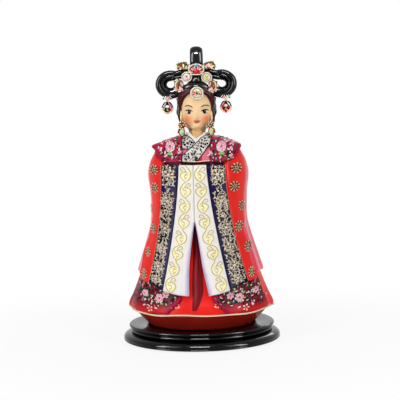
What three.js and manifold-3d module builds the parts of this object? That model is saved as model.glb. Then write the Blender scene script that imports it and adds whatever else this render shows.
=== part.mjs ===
// Queen doll in ceremonial dress on a round lacquered base.
// Millimetres, +Z up, the figure faces -Y, the origin is at the middle of the base's underside.
// Left and right are the doll's own: its left is +X.
import * as THREE from "three";
import { mergeVertices } from "three/addons/utils/BufferGeometryUtils.js";
import Module from "manifold-3d";

const wasm = await Module();
wasm.setup();

// Clearance between pieces that seat on each other
const gap = 0.3;

const between = (from, to, share) => from + (to - from) * share;

// Base
const feltThickness = 1;
const feltRadius = 60;
const lowerTierHeight = 7.2;
const lowerTierRadius = 66.6;
const upperTierHeight = 6.6;
const upperTierRadius = 62;
const beadStep = 1.3;
const beadCount = 3;
const grooveDepth = 0.8;
const grooveWidth = 0.5;
const lowerTierTop = feltThickness + lowerTierHeight;
const baseTop = lowerTierTop + upperTierHeight;

// Screws
const figureScrewRadius = 2;
const figureScrewBite = 9;
const tierScrewRadius = 1.5;
const tierScrewBite = 3.4;
const tierScrewSpread = 35;
const screwHeadOverhang = 1.6;
const screwHeadHeight = 2;

// Heights of the dress, each above the one before, from the base to the neck
const hemRise = 13.2;
const waistAboveHem = 76.8;
const ledgeAboveWaist = 45.5;
const shoulderAboveLedge = 13;
const neckAboveShoulder = 10;
const hem = baseTop + hemRise;
const waist = hem + waistAboveHem;
const ledge = waist + ledgeAboveWaist;
const shoulder = ledge + shoulderAboveLedge;
const neckSeat = shoulder + neckAboveShoulder;

// Half widths and depths of the robe: at the hem, the knees, the waist and the chest
const hemHalfWidth = 60;
const hemDepth = 57.5;
const kneeHalfWidth = 47.2;
const kneeDepth = 45.2;
const waistHalfWidth = 36;
const waistDepth = 33;
const chestHalfWidth = 35.8;
const chestDepth = 25;
const shoulderHalfWidth = 32.5;
const collarHalfWidth = 11;
const collarDepth = 9.5;
const robeThickness = 2.2;
const robeHemLift = 1.6;
const robeSideSeam = 8;
const robeOpeningAtLedge = 13.3;
const robeOpeningAtHem = 24;
const robeTurnRise = 25;

// Skirt under the robe
const footRadius = 44;
const underskirtWall = 4;
const underskirtInset = 1.6;
const underskirtSwell = 5;
const plugHeight = 11;
const pipingReach = 2.2;
const pipingHalfHeight = 1.1;
const pipingProud = 0.2;
const pleatThickness = 1.6;
const pleatTopHalfWidth = 1.4;
const pleatFootHalfWidth = 4.6;
const pleatFootLift = 5;
const pleatTopLap = 4;

// Sleeves, folded in front: half widths and depths down their length
const sleeveShoulderHalfWidth = 37.4;
const sleeveElbowHalfWidth = 42.8;
const sleeveWaistHalfWidth = 41;
const sleeveHemHalfWidth = 54.6;
const sleeveLedgeDepth = 40;
const sleeveHemDepth = 54;
const sleeveBackEdge = 16;
const sleeveHemRise = 39;
const sleeveFoldCornerRise = 41.4;
const sleeveFoldTopHalfWidth = 40;
const sleeveFoldFootHalfWidth = 52.2;
const sleeveFoldFlare = 2.4;
const liningCornerRise = 44.6;
const liningStep = 1.7;
const liningStepTop = 132;
const liningStepFade = 40;
const sleeveRibHeight = 0.8;
const sleeveRibPitch = 17.5;
const sleeveRibStart = 1;
const sleeveRibOnset = 0.2;
const sleeveRibTop = 148;
const sleeveRibFade = 70;

// Edges of the white cuffs and the navy bands, as half widths in the front view
const cuffTopHalfWidth = 11.6;
const cuffFootHalfWidth = 28;
const cuffFlare = 1.45;
const cuffSlitDrop = 45.5;
const cuffInnerFoot = 8.8;
const cuffInnerFootRise = 30.2;
const cuffOuterFootRise = 33.8;
const cuffCornerRound = 1.6;
const bandTopHalfWidth = 27.2;
const bandFootHalfWidth = 41.8;
const bandFlare = 2;
const bandFootRise = 39.2;
const cuffProud = 0.8;

// Cast flower heads and leaves on the navy bands
const brocadeProud = 0.9;
const brocadeHeadDrop = 6.9;
const brocadeHeadPitch = 21.4;
const brocadeHeadCount = 5;
const brocadeHeadRadius = 5;
const brocadeHeadLobes = 6;
const brocadeHeadSwell = 0.1;
const brocadeLeafRadius = 3.3;
const brocadeLeafLobes = 4;
const brocadeLeafSwell = 0.35;
const brocadeInnerEdge = 3.2;
const brocadeOuterEdge = 0.9;

// Cape, lapels and neck band
const capeThickness = 2.1;
const capeTipHalfWidth = 38.6;
const capeOpening = 11.9;
const capeTipLift = 0.2;
const capeBackDrop = 22;
const lapelThickness = 1.6;
const capeBackScallop = 6;
const lapelOuterHalfWidth = 11.6;
const lapelVeeDrop = 5.3;
const lapelCross = 0.8;
const lapelFall = 7;
const lapelFootInner = 3.2;
const neckBandHeight = 3.4;
const neckBandWall = 1.3;
const neckBandSpread = 0.5;
const neckBandProud = 0.8;
const veeBandWidth = 3.8;

// Head
const neckRadius = 6.2;
const neckPegRadius = 4;
const neckPegLength = 8;
const chinRise = 6.2;
const headHalfWidth = 13.4;
const headDepth = 14;
const headBackDepth = 14.6;
const headHeight = 35;
const noseRise = 9.4;
const noseSize = [1.4, 1.5, 2.2];
const chin = neckSeat + chinRise;
const headTop = chin + headHeight;

// Hair
const hairSideThickness = 2.5;
const hairBackThickness = 3.6;
const hairHalfWidth = headHalfWidth + hairSideThickness;
const hairBackDepth = headBackDepth + hairBackThickness;
const hairPartDepth = 2;
const hairlineRise = 29.6;
const hairlineSpring = 12;
const hairlineHalfWidth = 13.5;
const hairlineSquareness = 0.82;
const bandLow = 31;
const bandHalfWidth = 12.4;
const bandArch = 2.4;
const bandThickness = 1.1;
const knotHalfWidth = 4.4;
const knotDepth = 4.8;
const knotHalfHeight = 3.8;
const knotRise = 41.2;
const rootHalfWidth = 8.4;
const rootDepth = 6;
const rootHalfHeight = 6;
const rootBack = 3.6;
const rootRise = 43;
const loopTubeRadius = 4;
const loopCentreWidth = 21.5;
const loopCentreRise = 38.2;
const loopRadius = 8.7;
const loopSetBack = 4.2;
const loopUpperEnd = [5.4, 9.6];
const loopLowerEnd = [9.1, -5.7];
const topLoopHalfWidth = 5.2;
const topLoopTubeRadius = 3.6;
const topLoopRise = 70;
const topLoopCentre = 5.8;
const topLoopHalfDepth = 7.2;
const topLoopHalfHeight = 11.8;
const topLoopFrontEnd = -40;
const topLoopBackEnd = 250;

// Hair ornaments
const browBroochRadius = 5.4;
const browBroochRise = 29.6;
const crestHalfWidth = 7;
const crestHeight = 9.4;
const crestRise = 45.2;
const sprayWidth = 11.4;
const sprayHeight = 9;
const sprayCentre = 11.4;
const sprayRise = 52.6;
const roundBroochRadius = 4.7;
const roundBroochCentre = 8.3;
const roundBroochRise = 43.2;
const fanCentre = 14.8;
const fanRise = 36.4;
const fanHalfWidth = 4.6;
const fanHalfHeight = 6;
const browBroochDepth = 17.4;
const crestDepth = 10.4;
const sprayDepth = 3.4;
const roundBroochDepth = 8.6;
const fanDepth = 9;
const broochSeatDepth = 4;
const crestBackDepth = 2;
const sprayBackDepth = 2.4;
const fanOpening = 24;
const lobeSwell = 0.07;

// Pendants under the side loops, free to swing on their hangers
const pendantCentre = 24.8;
const pendantDepth = 0;
const pendantHalfWidth = 5.3;
const pendantLength = 10.8;
const pendantThickness = 2.4;
const pendantFrame = 1.6;
const pendantGemRadius = 1.8;
const pendantGemDepth = 1.6;
const pendantStalkRadius = 0.5;
const dropNarrowing = 0.45;
const hangerWireRadius = 0.4;
const hangerHalfWidth = 1.3;
const hangerDrop = 1.7;
const hangerLeg = 4;
const hangerBend = 1;
const eyeRadius = 1.2;
const eyeWireRadius = 0.4;

// Ear ornaments
const earCentre = 12.4;
const earRosetteRadius = 3.9;
const earRosetteRise = 4;
const earRosetteHalfDepth = 1.8;
const earDropHalfWidth = 2.9;
const earDropHalfDepth = 2.2;
const earDropHalfHeight = 3.7;
const earDropRise = -2.6;
const earDepth = -8.6;

// Outlines of the robe, the sleeves, the head and the hair, from their feet up.
// A row is [height, half width, depth to the front, depth to the back].
const robeRows = [
  [hem - 6, hemHalfWidth + 2, hemDepth + 2, hemDepth + 2],
  [hem, hemHalfWidth, hemDepth, hemDepth],
  [between(hem, waist, 0.08), hemHalfWidth - 0.8, hemDepth - 1.2, hemDepth - 0.8],
  [between(hem, waist, 0.17), hemHalfWidth - 3.6, hemDepth - 4.2, hemDepth - 3.4],
  [between(hem, waist, 0.35), hemHalfWidth - 8.2, hemDepth - 8.4, hemDepth - 7.2],
  [between(hem, waist, 0.53), kneeHalfWidth, kneeDepth, kneeDepth + 1],
  [between(hem, waist, 0.72), between(kneeHalfWidth, waistHalfWidth, 0.5), 40.2, 41.7],
  [waist, waistHalfWidth, waistDepth, waistDepth + 2.5],
  [between(waist, ledge, 0.5), waistHalfWidth - 0.6, 29, 30.5],
  [ledge, chestHalfWidth, chestDepth, chestDepth + 2],
  [between(ledge, shoulder, 0.55), chestHalfWidth - 0.3, chestDepth - 2, chestDepth],
  [shoulder - 1.6, chestHalfWidth - 1.2, chestDepth - 4, chestDepth - 1],
  [shoulder + 1.8, shoulderHalfWidth, chestDepth - 7, chestDepth - 3.6],
  [between(shoulder, neckSeat, 0.52), 25.5, 15.2, 18.6],
  [between(shoulder, neckSeat, 0.75), 18, 12.6, 15],
  [neckSeat, collarHalfWidth, collarDepth, collarDepth + 1],
  [neckSeat + 4, collarHalfWidth - 1, collarDepth - 0.6, collarDepth + 0.4],
];

const sleeveRows = [
  [baseTop + 24, sleeveHemHalfWidth + 1.4, sleeveHemDepth + 3.4, 51],
  [baseTop + sleeveHemRise, sleeveHemHalfWidth + 0.2, sleeveHemDepth, 50],
  [baseTop + 46, sleeveHemHalfWidth, 51.6, 49.4],
  [baseTop + 57, 51.2, 49, 47.6],
  [baseTop + 72, 46, 46.4, 43],
  [waist, sleeveWaistHalfWidth, 44, 36],
  [between(waist, ledge, 0.45), 41, 42, 34],
  [between(waist, ledge, 0.8), sleeveElbowHalfWidth, 40.8, 33],
  [ledge, 41.4, sleeveLedgeDepth, 31],
  [between(ledge, shoulder, 0.6), 38.4, 35, 28],
  [shoulder - 1, sleeveShoulderHalfWidth, 30, 26],
  [shoulder + 2, sleeveShoulderHalfWidth - 2.6, 22, 23],
];

const headRows = [
  [neckSeat + gap, neckRadius + 0.3, neckRadius + 0.3, neckRadius + 0.3],
  [between(neckSeat, chin, 0.5), neckRadius, neckRadius, neckRadius],
  [chin - 1.2, neckRadius + 0.4, neckRadius + 1, neckRadius + 0.6],
  [chin + 0.6, headHalfWidth - 5, headDepth - 1.8, headBackDepth - 6.6],
  [chin + 4, headHalfWidth - 2.4, headDepth - 0.6, headBackDepth - 3.6],
  [chin + 9, headHalfWidth - 0.5, headDepth, headBackDepth - 1.1],
  [between(chin, headTop, 0.43), headHalfWidth, headDepth, headBackDepth],
  [between(chin, headTop, 0.6), headHalfWidth, headDepth - 0.2, headBackDepth + 0.2],
  [between(chin, headTop, 0.77), headHalfWidth - 1, headDepth - 1.1, headBackDepth - 0.8],
  [between(chin, headTop, 0.91), headHalfWidth - 4.2, headDepth - 3.9, headBackDepth - 4.2],
  [headTop, headHalfWidth - 10, headDepth - 9.8, headBackDepth - 10.4],
];

const hairRows = [
  [chin + 1, headHalfWidth - 1.8, headDepth - 5, headBackDepth - 1.6],
  [chin + 5, headHalfWidth + 0.6, headDepth - 2.5, headBackDepth + 0.9],
  [between(chin, headTop, 0.31), hairHalfWidth - 1, headDepth - 0.4, hairBackDepth - 1],
  [between(chin, headTop, 0.51), hairHalfWidth - 0.4, headDepth + 0.7, hairBackDepth],
  [between(chin, headTop, 0.69), hairHalfWidth - 0.2, headDepth + 1.2, hairBackDepth],
  [between(chin, headTop, 0.83), hairHalfWidth - 0.7, headDepth + 0.9, hairBackDepth - 0.6],
  [between(chin, headTop, 0.94), headHalfWidth + 0.4, headDepth - 0.5, headBackDepth + 1],
  [headTop + 2, headHalfWidth - 2.6, headDepth - 3.4, headBackDepth - 2.8],
  [headTop + 5, headHalfWidth - 7.8, headDepth - 8.4, headBackDepth - 8.2],
];

// Mesh fineness
const ovalSides = 24;
const turnedSides = 42;

// Solids and how they join

function solidOf(geometry) {
  const bare = geometry.index ? geometry.toNonIndexed() : geometry.clone();
  bare.deleteAttribute("normal");
  bare.deleteAttribute("uv");
  const merged = mergeVertices(bare, 1e-4);
  const corners = merged.index.array;
  const faces = [];
  for (let i = 0; i < corners.length; i += 3) {
    const [a, b, c] = [corners[i], corners[i + 1], corners[i + 2]];
    if (a !== b && b !== c && c !== a) faces.push(a, b, c);
  }
  const vertProperties = merged.attributes.position.array;
  return new wasm.Manifold(
    new wasm.Mesh({ numProp: 3, vertProperties, triVerts: new Uint32Array(faces) }),
  );
}

function geometryOf(solid) {
  const { vertProperties, triVerts } = solid.getMesh();
  const geometry = new THREE.BufferGeometry();
  geometry.setAttribute("position", new THREE.BufferAttribute(vertProperties, 3));
  geometry.setIndex(new THREE.BufferAttribute(triVerts, 1));
  geometry.computeVertexNormals();
  return geometry;
}

const cut = (solid, ...tools) => tools.reduce((left, tool) => left.subtract(tool), solid);
const join = (first, ...others) => others.reduce((sum, other) => sum.add(other), first);

// The largest body of a cut solid: what is left behind the piece it seats on is dropped.
function largest(solid) {
  const bodies = solid.decompose();
  return bodies.reduce((best, body) => (body.volume() > best.volume() ? body : best));
}

function block(low, high) {
  const size = high.map((value, i) => value - low[i]);
  const middle = high.map((value, i) => (value + low[i]) / 2);
  return solidOf(new THREE.BoxGeometry(...size).translate(...middle));
}

const reach = 2 * lowerTierRadius;
const slice = (solid, from, to) =>
  solid.intersect(block([-reach, -reach, from], [reach, reach, to]));

// A bar with its outline in the front view, as [x, height] points, between two places along Y
function frontBar(outline, near = -reach, far = reach) {
  const shape = new THREE.Shape(outline.map(([x, height]) => new THREE.Vector2(x, height)));
  const bar = new THREE.ExtrudeGeometry(shape, { depth: far - near, bevelEnabled: false });
  return solidOf(bar.rotateX(Math.PI / 2).translate(0, far, 0));
}

function ellipsoid(centre, radii, grow = 0, sides = 12) {
  const ball = new THREE.SphereGeometry(1, sides, sides / 2);
  const [x, y, z] = radii.map((radius) => radius + grow);
  return solidOf(ball.rotateX(Math.PI / 2).scale(x, y, z).translate(...centre));
}

// A disc that faces the front
function frontDisc(x, height, radius, near, far, sides = 18) {
  const disc = new THREE.CylinderGeometry(radius, radius, far - near, sides);
  return solidOf(disc.translate(0, -(near + far) / 2, 0).rotateX(Math.PI).translate(x, 0, height));
}

function pillar(x, radius, from, to, sides = 12) {
  const bar = new THREE.CylinderGeometry(radius, radius, to - from, sides);
  return solidOf(bar.rotateX(Math.PI / 2).translate(x, 0, (from + to) / 2));
}

function turned(points, sides = turnedSides) {
  const outline = points.map(([radius, height]) => new THREE.Vector2(radius, height));
  return solidOf(new THREE.LatheGeometry(outline, sides).rotateX(Math.PI / 2));
}

// A tube of oval section along a curve through points
function tube(points, acrossRadius, alongRadius, steps, sides = 8) {
  const curve = new THREE.CatmullRomCurve3(points.map((point) => new THREE.Vector3(...point)));
  const section = new THREE.Shape();
  for (let i = 0; i < sides; i += 1) {
    const angle = (2 * Math.PI * i) / sides;
    const corner = [acrossRadius * Math.cos(angle), alongRadius * Math.sin(angle)];
    if (i === 0) section.moveTo(...corner);
    else section.lineTo(...corner);
  }
  return solidOf(new THREE.ExtrudeGeometry(section, { steps, extrudePath: curve }));
}

// A closed stack of ovals through the rows of an outline
function stack(rows, grow = 0, perRow = 1, sides = ovalSides, fold = () => 0) {
  const curves = [1, 2, 3].map(
    (column) => new THREE.SplineCurve(rows.map((row) => new THREE.Vector2(row[column], row[0]))),
  );
  const steps = (rows.length - 1) * perRow;
  const rings = Array.from({ length: steps + 1 }, (_, i) => {
    const [side, front, back] = curves.map((curve) => curve.getPoint(i / steps));
    return { height: side.y, side: side.x, front: front.x, back: back.x };
  });
  const positions = [];
  rings.forEach((ring, i) => {
    const below = rings[Math.max(i - 1, 0)];
    const above = rings[Math.min(i + 1, steps)];
    const rise = above.height - below.height;
    const spread = above.side - below.side;
    const out = (grow * rise) / Math.hypot(rise, spread);
    const up = (-grow * spread) / Math.hypot(rise, spread);
    for (let k = 0; k < sides; k += 1) {
      const angle = (2 * Math.PI * k) / sides;
      const depth = Math.cos(angle) > 0 ? ring.front : ring.back;
      const proud = out + fold(angle, ring);
      positions.push((ring.side + proud) * Math.sin(angle));
      positions.push(-(depth + proud) * Math.cos(angle), ring.height + up);
    }
  });
  const foot = positions.length / 3;
  positions.push(0, 0, positions[2], 0, 0, positions[positions.length - 1]);
  const faces = [];
  for (let k = 0; k < sides; k += 1) {
    const next = (k + 1) % sides;
    for (let i = 0; i < steps; i += 1) {
      const low = i * sides;
      const high = low + sides;
      faces.push(low + k, low + next, high + next, low + k, high + next, high + k);
    }
    faces.push(foot, next, k, foot + 1, steps * sides + k, steps * sides + next);
  }
  const geometry = new THREE.BufferGeometry();
  geometry.setAttribute("position", new THREE.BufferAttribute(new Float32Array(positions), 3));
  geometry.setIndex(faces);
  return solidOf(geometry);
}

// Profiles of the dress

const robe = (grow = 0) => stack(robeRows, grow);
const core = (grow = 0) => stack(robeRows, grow - robeThickness - gap);

// A half width that flares from a top height to a foot height
const flare = (top, foot, topHeight, footHeight, power) => (height) =>
  between(top, foot, ((topHeight - height) / (topHeight - footHeight)) ** power);

const cuffEdge = flare(
  cuffTopHalfWidth,
  cuffFootHalfWidth,
  ledge,
  baseTop + cuffOuterFootRise,
  cuffFlare,
);
const bandEdge = flare(
  bandTopHalfWidth,
  bandFootHalfWidth,
  ledge,
  baseTop + bandFootRise,
  bandFlare,
);

const foldEdge = flare(
  sleeveFoldTopHalfWidth,
  sleeveFoldFootHalfWidth,
  ledge,
  baseTop + sleeveFoldCornerRise,
  sleeveFoldFlare,
);

// The top of the slit between the cuffs
const slit = ledge - cuffSlitDrop;

// Points down an edge, shifted sideways
function alongEdge(edge, from, to, shift, steps = 8) {
  return Array.from({ length: steps + 1 }, (_, i) => {
    const height = between(from, to, i / steps);
    return [edge(height) + shift, height];
  });
}

// Base pieces

const screwSeat = feltThickness + screwHeadHeight + gap;

function screw(x, radius, tip) {
  const head = pillar(x, radius + screwHeadOverhang, feltThickness + gap, screwSeat);
  return join(head, pillar(x, radius, screwSeat - gap, tip));
}

function screwHole(x, radius, tip) {
  const bore = pillar(x, radius + screwHeadOverhang + gap, 0, screwSeat);
  return join(bore, pillar(x, radius + gap, screwSeat - gap, tip + gap));
}

const figureScrewTip = baseTop + figureScrewBite;
const tierScrewTip = lowerTierTop + tierScrewBite;
const screwHoles = () => [
  screwHole(0, figureScrewRadius, figureScrewTip),
  screwHole(tierScrewSpread, tierScrewRadius, tierScrewTip),
  screwHole(-tierScrewSpread, tierScrewRadius, tierScrewTip),
];

// Half-round points of an edge between two heights
function roundEdge(radius, from, to, steps = 5) {
  const half = (to - from) / 2;
  return Array.from({ length: steps + 1 }, (_, i) => {
    const angle = Math.PI * (i / steps - 0.5);
    return [radius - half + half * Math.cos(angle), from + half + half * Math.sin(angle)];
  });
}

const feltPad = () => turned([[0, 0], [feltRadius, 0], [feltRadius, feltThickness], [0, feltThickness]]);

function lowerTier() {
  const edge = roundEdge(lowerTierRadius, feltThickness, lowerTierTop);
  return cut(turned([[0, feltThickness], ...edge, [0, lowerTierTop]]), ...screwHoles());
}

function upperTier() {
  const pitch = (upperTierHeight + grooveWidth) / beadCount;
  const beadHeight = pitch - grooveWidth;
  const points = [[0, lowerTierTop]];
  for (let i = 0; i < beadCount; i += 1) {
    const radius = upperTierRadius - beadStep * (beadCount - 1 - i);
    const from = lowerTierTop + pitch * i;
    points.push(...roundEdge(radius, from, from + beadHeight, 3));
    const floor = [radius - beadHeight / 2 - grooveDepth, from + beadHeight + grooveWidth / 2];
    if (i < beadCount - 1) points.push(floor);
  }
  return cut(turned([...points, [0, baseTop]]), ...screwHoles());
}

// Skirt pieces

const plugRadius = footRadius - underskirtWall - gap;
const footPlug = () =>
  cut(pillar(0, plugRadius, baseTop, baseTop + plugHeight, ovalSides), ...screwHoles());

function underskirt() {
  const rim = robeThickness + gap + underskirtInset;
  const ring = (height, radius, depth, inset) => [height, radius - inset, depth - inset, depth - inset];
  const swell = footRadius + underskirtSwell;
  const cone = (inset) =>
    stack([
      ring(baseTop - inset, footRadius, footRadius, inset),
      ring(between(baseTop, hem, 0.5), swell, swell, inset),
      ring(hem - gap + inset, hemHalfWidth - rim, hemDepth - rim, inset),
    ]);
  return cut(cone(0), cone(underskirtWall));
}

const skirt = () => slice(core(), hem, waist);

function hemPiping() {
  const [side, deep] = [hemHalfWidth, hemDepth];
  const ring = stack([
    [hem - pipingHalfHeight, side - pipingReach, deep - pipingReach, deep - pipingReach],
    [hem, side + pipingProud, deep + pipingProud, deep + pipingProud],
    [hem + pipingHalfHeight, side - pipingReach, deep - pipingReach, deep - pipingReach],
  ]);
  return cut(ring, core(gap));
}

function frontPleat(grow = 0) {
  const top = slit + pleatTopLap;
  const foot = hem + pleatFootLift;
  const [narrow, wide] = [pleatTopHalfWidth + grow, pleatFootHalfWidth + grow];
  const outline = [[narrow, top], [-narrow, top]];
  for (let i = 0; i <= 8; i += 1) {
    const angle = Math.PI * (1 + i / 8);
    outline.push([wide * Math.cos(angle), foot + wide + wide * Math.sin(angle)]);
  }
  const shell = slice(core(gap + pleatThickness + grow), hem, top + grow);
  const pleat = shell.intersect(frontBar(outline, -reach, 0));
  return grow ? pleat : cut(pleat, core(gap));
}

// Robe pieces

function robeFrontOutline() {
  const foot = hem + robeHemLift;
  return [
    [robeOpeningAtLedge, neckSeat],
    [robeOpeningAtLedge, baseTop + robeTurnRise],
    [robeOpeningAtHem, foot],
    [reach, foot],
    [reach, neckSeat],
  ];
}

function robeFront() {
  const shell = robe().intersect(frontBar(robeFrontOutline(), -reach, robeSideSeam - gap));
  return largest(cut(shell, core(gap)));
}

function robeBack() {
  const shell = robe().intersect(
    block([-reach, robeSideSeam, hem + robeHemLift], [reach, reach, neckSeat]),
  );
  return largest(cut(shell, core(gap)));
}

function torso() {
  const socket = pillar(0, neckPegRadius + gap, neckSeat - neckPegLength - gap, neckSeat + 1);
  return cut(slice(core(), waist, neckSeat), socket);
}

// Sleeve pieces

function robeFrontSpace() {
  const outline = robeFrontOutline().map(([x, height]) => [x - gap, height - gap]);
  return robe(gap).intersect(frontBar(outline, -reach, robeSideSeam));
}

// A mirrored copy for the doll's right side
function mirrored(solid) {
  const geometry = geometryOf(solid).scale(-1, 1, 1);
  const corners = geometry.index.array;
  for (let i = 0; i < corners.length; i += 3) {
    [corners[i], corners[i + 1]] = [corners[i + 1], corners[i]];
  }
  return solidOf(geometry);
}

const fade = (height, top, length) => THREE.MathUtils.clamp((top - height) / length, 0, 1);

// Soft upright ribs round the sides of the sleeves
function sleeveRib(angle, ring) {
  const away = Math.abs(angle > Math.PI ? angle - 2 * Math.PI : angle);
  const wave = Math.cos((2 * Math.PI * ring.side * (away - sleeveRibStart)) / sleeveRibPitch);
  const near = THREE.MathUtils.smoothstep(away, sleeveRibStart, sleeveRibStart + sleeveRibOnset);
  return sleeveRibHeight * wave * near * fade(ring.height, sleeveRibTop, sleeveRibFade);
}

// The lining lies a step behind the front layer of the sleeve
const liningRows = sleeveRows.map(([height, ...sizes]) => {
  const step = liningStep * fade(height, liningStepTop, liningStepFade);
  return [height, ...sizes.map((size) => size - step)];
});

const sleeveForm = (rows, grow = 0) => stack(rows, grow, 1, 2 * ovalSides, sleeveRib);

function sleeveLayer(outline, proud, far = 0) {
  return stack(sleeveRows, proud).intersect(frontBar(outline, -reach, far));
}

function cuff() {
  const half = gap / 2;
  const outline = [
    [half, ledge],
    [half, slit],
    [cuffInnerFoot, baseTop + cuffInnerFootRise + cuffCornerRound],
    [cuffInnerFoot + cuffCornerRound, baseTop + cuffInnerFootRise],
    ...alongEdge(cuffEdge, baseTop + cuffOuterFootRise, ledge, -half),
  ];
  return largest(cut(sleeveLayer(outline, cuffProud), core(gap), robeFrontSpace(), frontPleat(gap)));
}

// A round outline with lobes
function lobed(x, height, radius, lobes, swell, perLobe = 4) {
  const steps = lobes * perLobe;
  return Array.from({ length: steps }, (_, i) => {
    const turn = (2 * Math.PI * i) / steps;
    const size = radius * (1 + swell * Math.cos(lobes * turn));
    return [x + size * Math.sin(turn), height + size * Math.cos(turn)];
  });
}

// Cast relief down the middle of a band: flower heads, with leaves in fours between them
function bandFlowers() {
  const middle = (height) =>
    (cuffEdge(height) + brocadeInnerEdge + bandEdge(height) - brocadeOuterEdge) / 2;
  const outlines = [];
  for (let i = 0; i < brocadeHeadCount; i += 1) {
    const height = ledge - brocadeHeadDrop - i * brocadeHeadPitch;
    const head = [brocadeHeadRadius, brocadeHeadLobes, brocadeHeadSwell];
    outlines.push(lobed(middle(height), height, ...head));
    const below = height - brocadeHeadPitch / 2;
    const leaves = [brocadeLeafRadius, brocadeLeafLobes, brocadeLeafSwell];
    if (i < brocadeHeadCount - 1) outlines.push(lobed(middle(below), below, ...leaves));
  }
  return outlines.map((outline) => sleeveLayer(outline, brocadeProud));
}

function sleeveBand() {
  const half = gap / 2;
  const outline = [
    ...alongEdge(cuffEdge, ledge, baseTop + cuffOuterFootRise, half),
    ...alongEdge(bandEdge, baseTop + bandFootRise, ledge, -half),
  ];
  const layer = join(sleeveLayer(outline, 0), ...bandFlowers());
  return largest(cut(layer, core(gap), robeFrontSpace()));
}

// The red front layer of a sleeve, up to its fold, and the lining behind the fold
function sleeve() {
  const foldCorner = baseTop + sleeveFoldCornerRise;
  const liningCorner = baseTop + liningCornerRise;
  const top = shoulder + capeTipLift - gap;
  const front = [
    ...alongEdge(bandEdge, ledge, baseTop + bandFootRise, gap / 2),
    ...alongEdge(foldEdge, foldCorner, ledge, 0),
    [capeTipHalfWidth, top],
  ];
  const lining = [
    ...alongEdge(bandEdge, ledge, liningCorner, gap / 2),
    [reach, liningCorner],
    [reach, top],
    [capeTipHalfWidth, top],
  ];
  const layers = join(
    sleeveForm(sleeveRows).intersect(frontBar(front, -reach, 0)),
    sleeveForm(liningRows).intersect(frontBar(lining, -reach, sleeveBackEdge)),
  );
  return largest(cut(layers, robe(gap)));
}

// Cape

const capeShell = () => cut(robe(gap + capeThickness), robe(gap));

function capeFront() {
  const outline = [
    [capeOpening, ledge + gap],
    [bandTopHalfWidth, ledge + gap],
    [capeTipHalfWidth, shoulder + capeTipLift],
    [capeTipHalfWidth, neckSeat],
    [capeOpening, neckSeat],
  ];
  return largest(capeShell().intersect(frontBar(outline, -reach, -gap / 2)));
}

function capeBack() {
  const low = shoulder - capeBackDrop;
  const tip = shoulder + capeTipLift;
  const outline = [
    [0, low],
    [bandTopHalfWidth, low + capeBackScallop],
    [capeTipHalfWidth, tip],
    [capeTipHalfWidth, neckSeat],
    [-capeTipHalfWidth, neckSeat],
    [-capeTipHalfWidth, tip],
    [-bandTopHalfWidth, low + capeBackScallop],
  ];
  const shell = capeShell().intersect(frontBar(outline, gap / 2, reach));
  const sleeveSpace = sleeveForm(sleeveRows, gap).intersect(
    frontBar([[0, 0], [reach, 0], [reach, tip], [0, tip]], -reach, sleeveBackEdge + gap),
  );
  return largest(cut(shell, sleeveSpace, mirrored(sleeveSpace)));
}

// Neck band and lapels

const veeTop = neckSeat + neckBandHeight;
const veeFoot = neckSeat - lapelVeeDrop;
const veeSlope = (neckRadius + neckBandWall + gap) / (veeTop - veeFoot);
const veeEdge = (height) => (height - veeFoot) * veeSlope;
const neckSpace = () => pillar(0, neckRadius + gap, neckSeat - 1, veeTop + 1, ovalSides);
const torsoSpace = () => slice(core(gap), waist, neckSeat + gap);

function neckBand() {
  const outer = neckRadius + neckBandWall + gap;
  const ring = stack([
    [neckSeat - 1, outer + 2 * neckBandSpread, outer + 2 * neckBandSpread, outer + 2 * neckBandSpread],
    [neckSeat + gap, outer + neckBandSpread, outer + neckBandSpread, outer + neckBandSpread],
    [veeTop, outer, outer, outer],
  ]);
  const arms = [
    [0, veeFoot],
    [veeEdge(veeTop) + gap, veeTop],
    [veeEdge(veeTop) + gap - veeBandWidth, veeTop],
    [0, veeFoot + veeBandWidth / veeSlope],
    [-veeEdge(veeTop) - gap + veeBandWidth, veeTop],
    [-veeEdge(veeTop) - gap, veeTop],
  ];
  const front = join(slice(robe(neckBandProud), veeFoot - 1, neckSeat), ring).intersect(
    frontBar(arms, -reach, 0),
  );
  const back = ring.intersect(block([-reach, -gap, neckSeat - 1], [reach, reach, veeTop]));
  const robeBackSpace = slice(robe(gap), waist, neckSeat + gap).intersect(
    block([-reach, -gap, waist], [reach, reach, neckSeat + gap]),
  );
  return largest(cut(join(front, back), torsoSpace(), neckSpace(), robeBackSpace));
}

// The overlap line of the lapels runs from the foot of the vee to the doll's right hip.
const lapelShell = () => cut(slice(robe(lapelThickness), ledge, neckSeat), core(gap));
const overlapEdge = (x) => veeFoot - lapelCross + (x / lapelOuterHalfWidth) * lapelFall;

function lapelOver() {
  const side = lapelOuterHalfWidth;
  const outline = [
    [veeEdge(neckSeat) + gap * 2, neckSeat],
    [side, neckSeat],
    [side, veeFoot - 1],
    [-lapelFootInner, ledge + gap],
    [-side, ledge + gap],
    [-side, overlapEdge(-side)],
    [0, overlapEdge(0)],
  ];
  return largest(lapelShell().intersect(frontBar(outline, -reach, -gap)));
}

function lapelUnder() {
  const side = lapelOuterHalfWidth;
  const outline = [
    [-veeEdge(neckSeat) - gap * 2, neckSeat],
    [-gap / 2, overlapEdge(0) + gap * 2],
    [-side, overlapEdge(-side) + gap * 2],
    [-side, neckSeat],
  ];
  return largest(lapelShell().intersect(frontBar(outline, -reach, -gap)));
}

// Head

const headForm = (grow = 0) => stack(headRows, grow);
const hairForm = (grow = 0) => stack(hairRows, grow);

function head() {
  const peg = pillar(0, neckPegRadius, neckSeat - neckPegLength, neckSeat + 1);
  const nose = ellipsoid([0, -headDepth, chin + noseRise], noseSize);
  return join(headForm(), peg, nose);
}

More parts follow.
